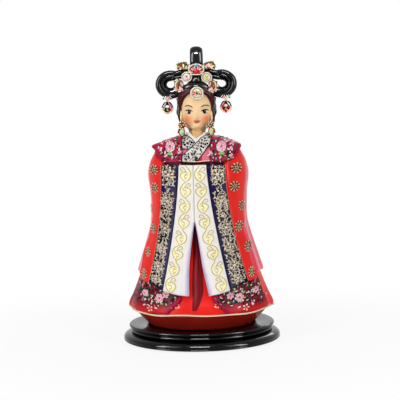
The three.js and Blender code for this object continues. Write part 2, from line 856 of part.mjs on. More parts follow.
function hairFront() {
  const steps = 12;
  const arch = Array.from({ length: steps + 1 }, (_, i) => {
    const angle = (Math.PI * i) / steps;
    const spring = chin + hairlineSpring;
    const [across, up] = [Math.cos(angle), Math.sin(angle)];
    return [
      hairlineHalfWidth * Math.sign(across) * Math.abs(across) ** hairlineSquareness,
      spring + (hairlineRise - hairlineSpring) * up ** hairlineSquareness,
    ];
  });
  const face = frontBar([...arch, [-hairlineHalfWidth, 0], [hairlineHalfWidth, 0]]);
  const half = hairForm().intersect(
    block([-reach, -reach, 0], [reach, hairPartDepth - gap / 2, 2 * headTop]),
  );
  return largest(cut(half, face, headForm(gap)));
}

function hairBack() {
  const half = hairForm().intersect(
    block([-reach, hairPartDepth + gap / 2, 0], [reach, reach, 2 * headTop]),
  );
  return largest(cut(half, headForm(gap)));
}

function hairBand() {
  const low = chin + bandLow;
  const outline = [
    [-reach, low],
    [-bandHalfWidth, low],
    [0, low + bandArch],
    [bandHalfWidth, low],
    [reach, low],
    [reach, 2 * headTop],
    [-reach, 2 * headTop],
  ];
  const layer = cut(hairForm(gap + bandThickness), hairForm(gap));
  return largest(layer.intersect(frontBar(outline, -reach, hairPartDepth)));
}

const hairSpace = () => join(hairForm(gap), bandSpace());
const bandSpace = () =>
  hairForm(gap * 2 + bandThickness).intersect(
    block([-reach, -reach, chin + bandLow - gap], [reach, hairPartDepth + gap, 2 * headTop]),
  );

const knotForm = (grow = 0) =>
  ellipsoid([0, -knotDepth, chin + knotRise], [knotHalfWidth, knotDepth, knotHalfHeight], grow);
const knot = () => largest(cut(knotForm(), hairSpace()));

const rootForm = (grow = 0) =>
  ellipsoid([0, rootBack, chin + rootRise], [rootHalfWidth, rootDepth, rootHalfHeight], grow);
const loopRoot = () => largest(cut(rootForm(), hairSpace(), knotForm(gap)));

// Hair loops: points of the centre line around the middle of the loop
const loopHeight = chin + loopCentreRise;
const loopLow = loopHeight - loopRadius - loopTubeRadius;

function sideLoopForm(grow = 0) {
  const [x, r] = [loopCentreWidth, loopRadius];
  const bow = [1, 0.5, 0, -0.5, -1].map((share) => {
    const turn = (share * Math.PI) / 2;
    return [x + r * Math.cos(turn), r * Math.sin(turn)];
  });
  const line = [loopUpperEnd, [x - r, r + 0.2], ...bow, [x - r * Math.SQRT1_2, 0.8 - r], loopLowerEnd];
  const points = line.map(([across, up]) => [
    across,
    loopSetBack * (1 - across / (x + r)),
    loopHeight + up,
  ]);
  return tube(points, loopTubeRadius + grow, loopTubeRadius + grow, 18);
}

const sideLoop = () =>
  largest(cut(sideLoopForm(), rootForm(gap), topLoopForm(gap), hairSpace()));

function topLoopForm(grow = 0) {
  const centre = chin + topLoopRise - topLoopTubeRadius - topLoopHalfHeight;
  const steps = 8;
  const points = Array.from({ length: steps + 1 }, (_, i) => {
    const turn = THREE.MathUtils.degToRad(between(topLoopFrontEnd, topLoopBackEnd, i / steps));
    return [
      0,
      topLoopCentre - topLoopHalfDepth * Math.cos(turn),
      centre + topLoopHalfHeight * Math.sin(turn),
    ];
  });
  return tube(points, topLoopHalfWidth + grow, topLoopTubeRadius + grow, 18);
}

const topLoop = () => largest(cut(topLoopForm(), rootForm(gap), hairSpace(), knotForm(gap)));

// Hair ornaments

// A fan outline with scalloped edge. Its two ends dip below its middle, to its foot.
function fanOutline(x, foot, halfWidth, height, lobes = 5) {
  const steps = lobes * 4;
  const dip = Math.sin(THREE.MathUtils.degToRad(fanOpening));
  const full = 1 + lobeSwell;
  return Array.from({ length: steps + 1 }, (_, i) => {
    const opening = THREE.MathUtils.degToRad(fanOpening);
    const angle = between(Math.PI + opening, -opening, i / steps);
    const size = (1 + lobeSwell * Math.abs(Math.sin((Math.PI * lobes * i) / steps))) / full;
    return [
      x + halfWidth * size * Math.cos(angle),
      foot + (height * (dip + size * Math.sin(angle))) / (1 + dip),
    ];
  });
}

function browBrooch() {
  const back = broochSeatDepth - headDepth;
  const disc = frontDisc(0, chin + browBroochRise, browBroochRadius, -browBroochDepth, back);
  return largest(cut(disc, headForm(gap), hairForm(gap), bandSpace()));
}

const roundBroochForm = (grow = 0) =>
  frontDisc(
    roundBroochCentre,
    chin + roundBroochRise,
    roundBroochRadius + grow,
    -roundBroochDepth - grow,
    grow,
  );

const roundBrooch = () =>
  largest(cut(roundBroochForm(), hairSpace(), rootForm(gap), knotForm(gap), sideLoopForm(gap)));

const crestForm = (grow = 0) =>
  frontBar(
    fanOutline(0, chin + crestRise - grow, crestHalfWidth + grow, crestHeight + 2 * grow),
    -crestDepth - grow,
    grow - crestBackDepth,
  );

const crest = () =>
  largest(
    cut(
      crestForm(),
      topLoopForm(gap),
      knotForm(gap),
      rootForm(gap),
      roundBroochForm(gap),
      mirrored(roundBroochForm(gap)),
      hairSpace(),
    ),
  );

function spray() {
  const foot = chin + sprayRise - sprayHeight / 2;
  const bar = frontBar(
    fanOutline(sprayCentre, foot, sprayWidth / 2, sprayHeight, 3),
    -sprayDepth,
    sprayBackDepth,
  );
  const spaces = [sideLoopForm(gap), topLoopForm(gap), rootForm(gap), crestForm(gap)];
  return largest(cut(bar, ...spaces, roundBroochForm(gap)));
}

function fanBrooch() {
  const steps = 20;
  const outline = Array.from({ length: steps }, (_, i) => {
    const angle = (2 * Math.PI * i) / steps;
    return [
      fanCentre + fanHalfWidth * Math.cos(angle),
      chin + fanRise + fanHalfHeight * Math.sin(angle),
    ];
  });
  const bar = frontBar(outline, -fanDepth, 0);
  return largest(cut(bar, hairSpace(), sideLoopForm(gap), roundBroochForm(gap)));
}

// Pendants

const pendantPivot = loopLow - hangerDrop;

function hanger() {
  const [x, y, z] = [pendantCentre, pendantDepth, pendantPivot];
  const corner = hangerBend * (1 - Math.SQRT1_2);
  const points = [
    [x - hangerHalfWidth, y, z + hangerLeg],
    [x - hangerHalfWidth, y, z + hangerBend],
    [x - hangerHalfWidth + corner, y, z + corner],
    [x - hangerHalfWidth + hangerBend, y, z],
    [x + hangerHalfWidth - hangerBend, y, z],
    [x + hangerHalfWidth - corner, y, z + corner],
    [x + hangerHalfWidth, y, z + hangerBend],
    [x + hangerHalfWidth, y, z + hangerLeg],
  ];
  return tube(points, hangerWireRadius, hangerWireRadius, 9, 6);
}

// A drop outline: a round foot that narrows to a point at its top
function dropOutline(x, top, halfWidth, length, steps = 14) {
  return Array.from({ length: steps }, (_, i) => {
    const angle = (2 * Math.PI * i) / steps;
    const lift = (1 + Math.cos(angle)) / 2;
    const width = halfWidth * (1 - dropNarrowing * lift * lift);
    return [x + width * Math.sin(angle), top - length * (1 - lift)];
  });
}

function pendant() {
  const x = pendantCentre;
  const top = pendantPivot - eyeRadius;
  const [near, far] = [pendantDepth - pendantThickness / 2, pendantDepth + pendantThickness / 2];
  const length = pendantLength - eyeRadius;
  const plate = frontBar(dropOutline(x, top, pendantHalfWidth, length), near, far);
  const holeTop = top - pendantFrame;
  const hole = frontBar(
    dropOutline(x, holeTop, pendantHalfWidth - pendantFrame, length - 2 * pendantFrame),
    near - 1,
    far + 1,
  );
  const gemHeight = top - length * 0.55;
  const gemSize = [pendantGemRadius, pendantGemDepth, pendantGemRadius];
  const gem = ellipsoid([x, pendantDepth, gemHeight], gemSize, 0, 8);
  const stalk = pillar(x, pendantStalkRadius, gemHeight, top - pendantFrame / 2, 6);
  const eye = new THREE.TorusGeometry(eyeRadius, eyeWireRadius, 6, 12);
  const ring = solidOf(eye.rotateY(Math.PI / 2).translate(x, pendantDepth, pendantPivot));
  return join(cut(plate, hole), gem, stalk, ring);
}

// Ear ornaments

const earRosetteForm = (grow = 0) =>
  frontDisc(
    earCentre,
    chin + earRosetteRise,
    earRosetteRadius + grow,
    earDepth - earRosetteHalfDepth - grow,
    earDepth + earRosetteHalfDepth + grow,
  );

const earRosette = () => largest(cut(earRosetteForm(), headForm(gap), hairForm(gap)));

function earDrop() {
  const centre = [earCentre, earDepth, chin + earDropRise];
  const drop = ellipsoid(centre, [earDropHalfWidth, earDropHalfDepth, earDropHalfHeight], 0, 10);
  const spaces = [earRosetteForm(gap), headForm(gap), hairForm(gap)];
  return largest(cut(drop, ...spaces, robe(2 * gap + capeThickness)));
}

// Materials

const material = (color, roughness, metalness = 0) =>
  new THREE.MeshStandardMaterial({ color, roughness, metalness });

const felt = material(0x202020, 0.95);
const lacquer = material(0x0b0a0c, 0.12);
const steel = material(0xb8b8b8, 0.35, 0.9);
const resin = material(0xcfc4b4, 0.6);
const deepRed = material(0x7a140f, 0.35);
const brightRed = material(0xe8302a, 0.3);
const pleatRed = material(0x8c1a20, 0.35);
const cream = material(0xffe8c8, 0.4);
const crimson = material(0x9a1c34, 0.35);
const pinkRed = material(0xd83048, 0.35);
const navy = material(0x1a1440, 0.35);
const white = material(0xf6f2ec, 0.4);
const brocade = material(0x8a8276, 0.4);
const skin = material(0xf2d2a0, 0.35);
const frontHair = material(0x5a1a26, 0.3);
const blackHair = material(0x0e0e12, 0.15);
const oldGold = material(0xe0cfa4, 0.35, 0.3);
const greenGem = material(0x9cc870, 0.2);

// Assembly

const doll = new THREE.Group();

function add(name, solid, finish) {
  const mesh = new THREE.Mesh(geometryOf(solid), finish);
  mesh.name = name;
  doll.add(mesh);
  return mesh;
}

function addPair(name, solid, finish) {
  add(name + "_left", solid, finish);
  add(name + "_right", solid, finish).scale.x = -1;
}

add("felt_pad", feltPad(), felt);
add("base_lower_tier", lowerTier(), lacquer);
add("base_upper_tier", upperTier(), lacquer);
add("figure_screw", screw(0, figureScrewRadius, figureScrewTip), steel);
addPair("tier_screw", screw(tierScrewSpread, tierScrewRadius, tierScrewTip), steel);

add("foot_plug", footPlug(), resin);
add("underskirt", underskirt(), deepRed);
add("skirt", skirt(), brightRed);
add("hem_piping", hemPiping(), cream);
add("front_pleat", frontPleat(), pleatRed);
addPair("robe_front", robeFront(), crimson);
add("robe_back", robeBack(), pinkRed);
add("torso", torso(), pinkRed);

addPair("sleeve", sleeve(), brightRed);
addPair("sleeve_band", sleeveBand(), navy);
addPair("cuff", cuff(), white);

addPair("cape_front", capeFront(), crimson);
add("cape_back", capeBack(), crimson);
add("lapel_over", lapelOver(), brocade);
add("lapel_under", lapelUnder(), brocade);
add("neck_band", neckBand(), white);

add("head", head(), skin);
add("hair_front", hairFront(), frontHair);
add("hair_back", hairBack(), blackHair);
add("hair_band", hairBand(), blackHair);
add("hair_knot", knot(), blackHair);
add("loop_root", loopRoot(), blackHair);
addPair("side_loop", sideLoop(), blackHair);
add("top_loop", topLoop(), blackHair);

add("brow_brooch", browBrooch(), oldGold);
add("crest", crest(), oldGold);
addPair("spray", spray(), oldGold);
addPair("round_brooch", roundBrooch(), oldGold);
addPair("fan_brooch", fanBrooch(), oldGold);

addPair("pendant_hanger", cut(hanger(), sideLoopForm(gap)), oldGold);
addPair("loop_pendant", pendant(), oldGold);
addPair("ear_rosette", earRosette(), oldGold);
addPair("ear_drop", earDrop(), greenGem);

export default doll;
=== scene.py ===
"""Queen doll in court dress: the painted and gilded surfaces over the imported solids.

Helpers work in millimetres and mesh makers turn them into metres. +Z is up and the doll faces -Y.
Left and right are the doll's own, so its left is +X.
"""
import bisect
import math
import random

import bpy
from mathutils import Matrix, Vector


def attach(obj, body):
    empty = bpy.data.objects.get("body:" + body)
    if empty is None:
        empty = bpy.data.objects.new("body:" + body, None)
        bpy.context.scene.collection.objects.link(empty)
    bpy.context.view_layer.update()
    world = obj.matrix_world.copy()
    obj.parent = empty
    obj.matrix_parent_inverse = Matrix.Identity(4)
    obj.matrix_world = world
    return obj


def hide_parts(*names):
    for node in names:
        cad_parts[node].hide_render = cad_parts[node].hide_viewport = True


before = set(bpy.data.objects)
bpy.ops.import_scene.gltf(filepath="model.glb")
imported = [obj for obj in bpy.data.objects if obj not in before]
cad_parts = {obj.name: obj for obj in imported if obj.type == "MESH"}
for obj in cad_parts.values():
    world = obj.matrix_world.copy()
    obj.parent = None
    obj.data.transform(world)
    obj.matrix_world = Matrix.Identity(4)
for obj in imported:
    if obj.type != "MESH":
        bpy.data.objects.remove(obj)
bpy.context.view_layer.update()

MM = 0.001
GAP = 0.3
TAU = 2 * math.pi

# Heights
BASE_TOP = 14.8
HEM = 28.0
PLEAT_FOOT = 32.8
BAND_FOOT_INSIDE = 48.6
BAND_FOOT_OUTSIDE = 54.0
WAIST = 104.8
BROCADE_BREAK = 132.0
LEDGE = 151.6
CAPE_FOOT = 152.2
CAPE_TOP = 173.4
HEAD_FOOT = 171.2
HEAD_TOP = 214.5


def mix(a, b, t):
    return a + (b - a) * t


def clamp(value, low=0.0, high=1.0):
    return max(low, min(high, value))


def smooth(t):
    t = clamp(t)
    return t * t * (3 - 2 * t)


def bump(distance, width):
    """A soft hill of height 1 over a distance, gone at about twice the width."""
    return math.exp(-((distance / width) ** 2))


# Outlines of the garments and the head, from their feet up.
# A row is (height, half width, depth to the front, depth to the back).
ROBE_ROWS = [
    (22.0, 62, 59.5, 59.5),
    (28.0, 60, 57.5, 57.5),
    (34.1, 59.2, 56.3, 56.7),
    (41.1, 56.4, 53.3, 54.1),
    (54.9, 51.8, 49.1, 50.3),
    (68.7, 47.2, 45.2, 46.2),
    (83.3, 41.6, 40.2, 41.7),
    (104.8, 36, 33, 35.5),
    (127.5, 35.4, 29, 30.5),
    (150.3, 35.8, 25, 27),
    (157.4, 35.5, 23, 25),
    (161.7, 34.6, 21, 24),
    (165.1, 32.5, 18, 21.4),
    (168.5, 25.5, 15.2, 18.6),
    (170.8, 18, 12.6, 15),
    (173.3, 11, 9.5, 10.5),
    (177.3, 10, 8.9, 9.9),
]
SLEEVE_ROWS = [
    (38.8, 56, 57.4, 51),
    (53.8, 54.8, 54, 50),
    (60.8, 54.6, 51.6, 49.4),
    (71.8, 51.2, 49, 47.6),
    (86.8, 46, 46.4, 43),
    (104.8, 41, 44, 36),
    (125.3, 41, 42, 34),
    (141.2, 42.8, 40.8, 33),
    (150.3, 41.4, 40, 31),
    (158.1, 38.4, 35, 28),
    (162.3, 37.4, 30, 26),
    (165.3, 34.8, 22, 23),
]
HEAD_ROWS = [
    (171.2, 7.0, 12.7, 6.6),
    (173.8, 6.9, 9.4, 6.6),
    (176.4, 6.9, 6.6, 6.4),
    (179.1, 7.5, 7.4, 6.8),
    (181.1, 9.0, 12.0, 8),
    (184.2, 11.2, 13.4, 11),
    (188.5, 12.7, 14, 13.5),
    (194.6, 13.4, 14.0, 14.6),
    (200.5, 13.4, 13.9, 14.8),
    (206.5, 12.4, 13.0, 13.8),
    (211.4, 9.2, 10.2, 10.4),
    (214.5, 3.4, 4.2, 4.2),
]
HAIR_ROWS = [
    (180.5, 11.6, 9, 13),
    (184.5, 13.6, 11.2, 15.5),
    (190.4, 14.8, 13.4, 17.2),
    (197.4, 15.4, 14.6, 18.2),
    (203.7, 15.5, 14.9, 18.2),
    (208.6, 15.0, 14.5, 17.6),
    (212.4, 13.6, 13.3, 15.6),
    (216.5, 10.4, 10.5, 11.8),
    (219.5, 5.4, 5.6, 6.4),
]


def catmull(points, t):
    """A point on the smooth curve through points, with t from 0 to 1."""
    place = t * (len(points) - 1)
    i = min(int(place), len(points) - 2)
    f = place - i
    p0, p1, p2, p3 = (points[clamp(i + k, 0, len(points) - 1)] for k in (-1, 0, 1, 2))
    result = []
    for a, b, c, d in zip(p0, p1, p2, p3):
        v0, v1 = (c - a) / 2, (d - b) / 2
        result.append((2 * b - 2 * c + v0 + v1) * f**3 + (3 * c - 3 * b - 2 * v0 - v1) * f**2 + v0 * f + b)
    return result


class Form:
    """A closed outline of ovals. Places on it are an angle from the front and a height."""

    def __init__(self, rows, folds=None):
        self.samples = [catmull(rows, i / 240) for i in range(241)]
        self.heights = [sample[0] for sample in self.samples]
        self.folds = folds or (lambda angle, z: 0.0)
        self.known = {}

    def sizes(self, z):
        if z not in self.known:
            i = clamp(bisect.bisect(self.heights, z), 1, len(self.samples) - 1)
            low, high = self.samples[i - 1], self.samples[i]
            t = (z - low[0]) / max(high[0] - low[0], 1e-9)
            self.known[z] = tuple(mix(a, b, t) for a, b in zip(low[1:], high[1:]))
        return self.known[z]

    def bare(self, angle, z):
        side, front, back = self.sizes(round(z, 4))
        fold = self.folds(angle, z)
        depth = front if math.cos(angle) > 0 else back
        return Vector(((side + fold) * math.sin(angle), -(depth + fold) * math.cos(angle), z))

    def frame(self, angle, z):
        """The point and the outward normal at an angle and a height."""
        step = 1e-2
        point = self.bare(angle, z)
        across = self.bare(angle + step, z) - self.bare(angle - step, z)
        up = self.bare(angle, z + step * 20) - self.bare(angle, z - step * 20)
        return point, across.cross(up).normalized()

    def point(self, angle, z, lift=0.0):
        point, normal = self.frame(angle, z)
        return point + normal * lift

    def angle(self, x, z):
        return math.asin(clamp(x / self.sizes(round(z, 4))[0], -1.0, 1.0))

    def front(self, lift=0.0):
        """Turns a place in the front view, x and height, into a point and a normal."""
        def place(x, z):
            point, normal = self.frame(self.angle(x, z), z)
            return point + normal * lift, normal
        return place


# Materials


WAVE_STRENGTH = 0.25
WAVE_HEIGHT = 0.2
DRIFT_SCALE = 45
ROUGH_DRIFT = 0.2


def wire(target, inputs):
    """Sets a node's inputs: a socket is linked, and anything else is a plain value."""
    for key, value in inputs.items():
        if isinstance(value, bpy.types.NodeSocket):
            target.id_data.links.new(value, target.inputs[key])
        else:
            target.inputs[key].default_value = value


def add_node(tree, kind, inputs=None, **settings):
    """A new node with its settings and its inputs."""
    new = tree.nodes.new("ShaderNode" + kind)
    for key, value in settings.items():
        setattr(new, key, value)
    wire(new, inputs or {})
    return new


def paint(name, color, roughness=0.35, gloss=0.08, grain=0.12, metallic=0.0, scale=420, other=None):
    """Brushed-on paint: the colour drifts a little, and fine waves catch the light."""
    material = bpy.data.materials.new(name)
    material.use_nodes = True
    tree = material.node_tree
    base = linear(color)
    dark = [c * (1 - grain) for c in base]
    light = linear(other) if other else [min(1, c * (1 + grain)) for c in base]
    place = add_node(tree, "TexCoord").outputs["Object"]
    drift = add_node(tree, "TexNoise", {"Vector": place, "Scale": DRIFT_SCALE, "Detail": 4}).outputs["Fac"]
    waves = add_node(tree, "TexNoise", {"Vector": place, "Scale": scale, "Detail": 3}).outputs["Fac"]
    blend = add_node(tree, "Mix", {"Factor": drift, "A": (*dark, 1), "B": (*light, 1)}, data_type="RGBA")
    rough = add_node(tree, "MapRange", {
        "Value": drift, "To Min": roughness * (1 - ROUGH_DRIFT), "To Max": roughness * (1 + ROUGH_DRIFT),
    })
    relief = add_node(tree, "Bump", {
        "Strength": WAVE_STRENGTH, "Distance": WAVE_HEIGHT * MM, "Height": waves,
    })
    wire(tree.nodes["Principled BSDF"], {
        "Base Color": blend.outputs["Result"],
        "Roughness": rough.outputs["Result"],
        "Normal": relief.outputs["Normal"],
        "Specular IOR Level": gloss,
        "Metallic": metallic,
    })
    return material


def object_place(material):
    return next(n for n in material.node_tree.nodes if n.type == "TEX_COORD").outputs["Object"]


def height_in(material):
    return add_node(material.node_tree, "SeparateXYZ", {0: object_place(material)}).outputs["Z"]


def tint(material, color, most, measure, near, far):
    """Lays a colour over a paint, thickest where the measure is near and gone where it is far."""
    tree = material.node_tree
    shader = tree.nodes["Principled BSDF"]
    ground = shader.inputs["Base Color"].links[0].from_socket
    share = add_node(tree, "MapRange", {
        "Value": measure, "From Min": near * MM, "From Max": far * MM, "To Min": most, "To Max": 0.0,
    }, interpolation_type="SMOOTHSTEP")
    blend = add_node(tree, "Mix", {
        "Factor": share.outputs["Result"], "A": ground, "B": (*linear(color), 1),
    }, data_type="RGBA")
    wire(shader, {"Base Color": blend.outputs["Result"]})


def linear(color):
    """Linear red, green and blue from a written colour such as "#E8302A"."""
    parts = [int(color[i:i + 2], 16) / 255 for i in (1, 3, 5)]
    return [c / 12.92 if c <= 0.04045 else ((c + 0.055) / 1.055) ** 2.4 for c in parts]


# Roughness and gloss of each kind of paint
MATT = (0.4, 0.024)
ENAMEL = (0.3, 0.036)
SATIN = (0.32, 0.036)
STONE = (0.15, 0.14)

BRIGHT_RED = paint("bright_red", "#E81A16", 0.18, 0.075, other="#F82E26")
PINK_RED = paint("pink_red", "#E62E4A", 0.18, 0.16, other="#F4546E")
CRIMSON = paint("crimson", "#A0163C", *SATIN, other="#B41E48")
DARK_CRIMSON = paint("dark_crimson", "#7C1028", *SATIN, other="#981834")
# A darker red for the fold in the skirt's opening: painted shade inside the fold and the opening between the
# sleeves.
PLEAT_SHADE_RED = paint("pleat_red", "#74101A", *ENAMEL, other="#8C1A22")
UNDER_RED = paint("under_red", "#861812", 0.22, 0.2, other="#A02618")
WHITE = paint("cuff_white", "#EAE5E0", *MATT, 0.03, other="#F2EEEA")
# Pale lavender in three steps: painted shade on the cuff's roll, where it turns in to the slit.
PALE_FOLD_SHADE = paint("fold_shade_pale", "#EAE6EE", *MATT, 0.03)
MID_FOLD_SHADE = paint("fold_shade_middle", "#DAD3E4", *MATT, 0.03)
LAVENDER_FOLD_SHADE = paint("fold_shade_lavender", "#C2B9D2", *MATT, 0.05)
NAVY = paint("navy", "#1A1440", *ENAMEL, 0.2)
CREAM = paint("cream", "#F6DDBC", 0.35, 0.036, other="#FFE8C8")
GOLD = paint("gold_line", "#AE9E3C", *MATT, 0.2, 0.1, other="#CCBC58")
YELLOW = paint("pale_yellow", "#F4ECAA", 0.45, 0.024, 0.08, other="#FCFAE4")
SILVER = paint("silver_gold", "#C8BCAA", 0.35, 0.048, 0.2, 0.1, other="#E2D8C6")
BROWN = paint("relief_brown", "#9A8070", *MATT, 0.25, 0.1, other="#B8A090")
OLD_GOLD = paint("old_gold", "#EEE2C2", 0.32, 0.048, 0.1, 0.05, other="#FAF2DE")
# Dark brown gold. On the ornaments' back plates it is painted shade in the gaps between the beads; it is
# also the dark paint of some petals, dots and thin rings.
DARK_GOLD_AND_GAP_SHADE = paint("dark_gold_and_gap_shade", "#6A4A2E", *MATT, 0.2, 0.1)
BLACK = paint("black_paint", "#141014", *ENAMEL, 0.2)
PETAL_WHITE = paint("petal_white", "#F4E6E6", *MATT, 0.05)
PETAL_PINK = paint("petal_pink", "#E88CAC", *MATT, 0.1, other="#F4B4C8")
PETAL_ROSE = paint("petal_rose", "#D04878", *MATT, 0.1)
LEAF_DARK = paint("leaf_dark", "#1E5440", *MATT, 0.2)
LEAF_LIGHT = paint("leaf_light", "#7CB860", *MATT, 0.15, other="#A8CC80")
GEM_RED = paint("gem_red", "#E02840", *STONE, 0.1)
GEM_GREEN = paint("gem_green", "#6CB464", *STONE, 0.15, other="#B4DC94")
GEM_BLUE = paint("gem_blue", "#6AB8D8", *STONE, 0.1)
GEM_PINK = paint("gem_pink", "#F0A8BC", *STONE, 0.1)
GEM_WHITE = paint("gem_white", "#F6F4F0", *STONE, 0.04)
ROSETTE_DARK = paint("rosette_dark", "#5A3228", 0.35, 0.024)
ROSETTE_ROSE = paint("rosette_rose", "#D8A498", 0.35, 0.024, 0.15)
PIPING_PINK = paint("piping_pink", "#E88C80", 0.35, 0.032)
# Brown-black that paints the shadow in the hollow behind the cuffs' top.
HOLLOW_SHADOW = paint("sleeve_hollow_shadow", "#3C1410", 0.5, 0.016)
LEAF_GOLD = paint("leaf_gold", "#C8BC4C", *MATT, 0.2, 0.2)
HAIR_BLACK = paint("hair_black", "#030305", 0.08, 0.23, 0.08, scale=200)
HAIR_BROWN = paint("hair_brown", "#340A12", 0.2, 0.1, 0.2, other="#561624")


# Meshes


def new_object(name, data):
    thing = bpy.data.objects.new(name, data)
    bpy.context.scene.collection.objects.link(thing)
    return thing


def piece(name, verts, faces, materials, slots=None, body="doll", replaces=(), slot=None):
    """One object from vertices in millimetres. slots gives each face its place in materials."""
    mesh = bpy.data.meshes.new(name)
    mesh.from_pydata([(v[0] * MM, v[1] * MM, v[2] * MM) for v in verts], [], faces)
    for material in materials:
        mesh.materials.append(material)
    if slots:
        mesh.polygons.foreach_set("material_index", slots)
    mesh.validate()
    mesh.shade_smooth()
    thing = new_object(name, mesh)
    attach(thing, body)
    if replaces:
        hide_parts(*replaces)
    return thing


def grid_faces(columns, rows, first=0, wrap=False, flip=False):
    """Faces of a grid whose vertices run along its rows."""
    faces = []
    for j in range(rows - 1):
        for i in range(columns if wrap else columns - 1):
            k = (i + 1) % columns
            a, b = first + j * columns + i, first + j * columns + k
            c, d = b + columns, a + columns
            faces.append((a, d, c, b) if flip else (a, b, c, d))
    return faces


def spread(count, edge):
    """Shares from 0 to 1 with extra ones near both ends, where an edge turns."""
    inner = [mix(edge, 1 - edge, i / (count - 1)) for i in range(count)]
    return [0, edge * 0.15, edge * 0.5, *inner, 1 - edge * 0.5, 1 - edge * 0.15, 1]


def turn_in(share, edge, radius):
    """How far a surface drops near its border, as a quarter circle."""
    if not edge:
        return 0.0
    near = min(share, 1 - share) / edge
    return 0.0 if near >= 1 else radius * (math.sqrt(max(0.0, 1 - (1 - near) ** 2)) - 1)


def border(columns, rows):
    """The outer vertices of a grid, in order."""
    ring = list(range(columns))
    ring += [j * columns + columns - 1 for j in range(1, rows)]
    ring += [(rows - 1) * columns + i for i in range(columns - 2, -1, -1)]
    ring += [j * columns for j in range(rows - 2, 0, -1)]
    return ring


def caps(first, last, count):
    """The two end faces of a stack of rings, from the first vertex of each end."""
    return [tuple(first + k for k in reversed(range(count))), tuple(last + k for k in range(count))]


def underside(outer, inner):
    """The inner face of a panel: a function of its own, or a thickness under the outer face."""
    return inner if callable(inner) else lambda u, v: outer(u, v, -inner)


def slab(name, outer, inner, us, vs, materials, slot_of=None, edges=(0.04, 0.04), radius=0.8,
         mirrored=False, **facts):
    """A closed panel. outer(u, v, lift) gives its points, u across and v up."""
    def across(u):
        return 1 - u if mirrored else u
    verts = []
    for v in vs:
        for u in us:
            drop = turn_in(u, edges[0], radius) + turn_in(v, edges[1], radius)
            verts.append(outer(across(u), v, max(drop, -radius * 1.4)))
    columns, rows = len(us), len(vs)
    slots = []
    for v0, v1 in zip(vs, vs[1:]):
        for u0, u1 in zip(us, us[1:]):
            slots.append(slot_of(across((u0 + u1) / 2), (v0 + v1) / 2) if slot_of else 0)
    back = len(verts)
    under = underside(outer, inner)
    verts += [under(across(u), v) for v in vs for u in us]
    rim = grid_faces(columns, rows, back, flip=True)
    ring = border(columns, rows)
    rim += [(b, a, a + back, b + back) for a, b in zip(ring, ring[1:] + ring[:1])]
    faces = grid_faces(columns, rows) + rim
    return piece(name, verts, faces, materials, slots + [0] * len(rim), **facts)


def shell(name, outer, inner, count, vs, material, **facts):
    """A panel that runs all the way round, so it has only a lower and an upper border."""
    verts = [outer(i / count, v, 0.0) for v in vs for i in range(count)]
    back = len(verts)
    under = underside(outer, inner)
    verts += [under(i / count, v) for v in vs for i in range(count)]
    faces = grid_faces(count, len(vs), wrap=True) + grid_faces(count, len(vs), back, wrap=True, flip=True)
    top = (len(vs) - 1) * count
    for i in range(count):
        k = (i + 1) % count
        faces.append((k, i, i + back, k + back))
        faces.append((top + i, top + k, top + k + back, top + i + back))
    return piece(name, verts, faces, [material], **facts)


def even(count):
    return [i / (count - 1) for i in range(count)]


def ring_of(x, z, wide, tall, count=24, ripple=0.0, waves=8):
    outline = []
    for k in range(count):
        a = TAU * k / count
        size = 1 + ripple * math.cos(waves * a)
        outline.append((x + wide * size * math.cos(a), z + tall * size * math.sin(a)))
    return outline


MOST_STRETCH = 1.6


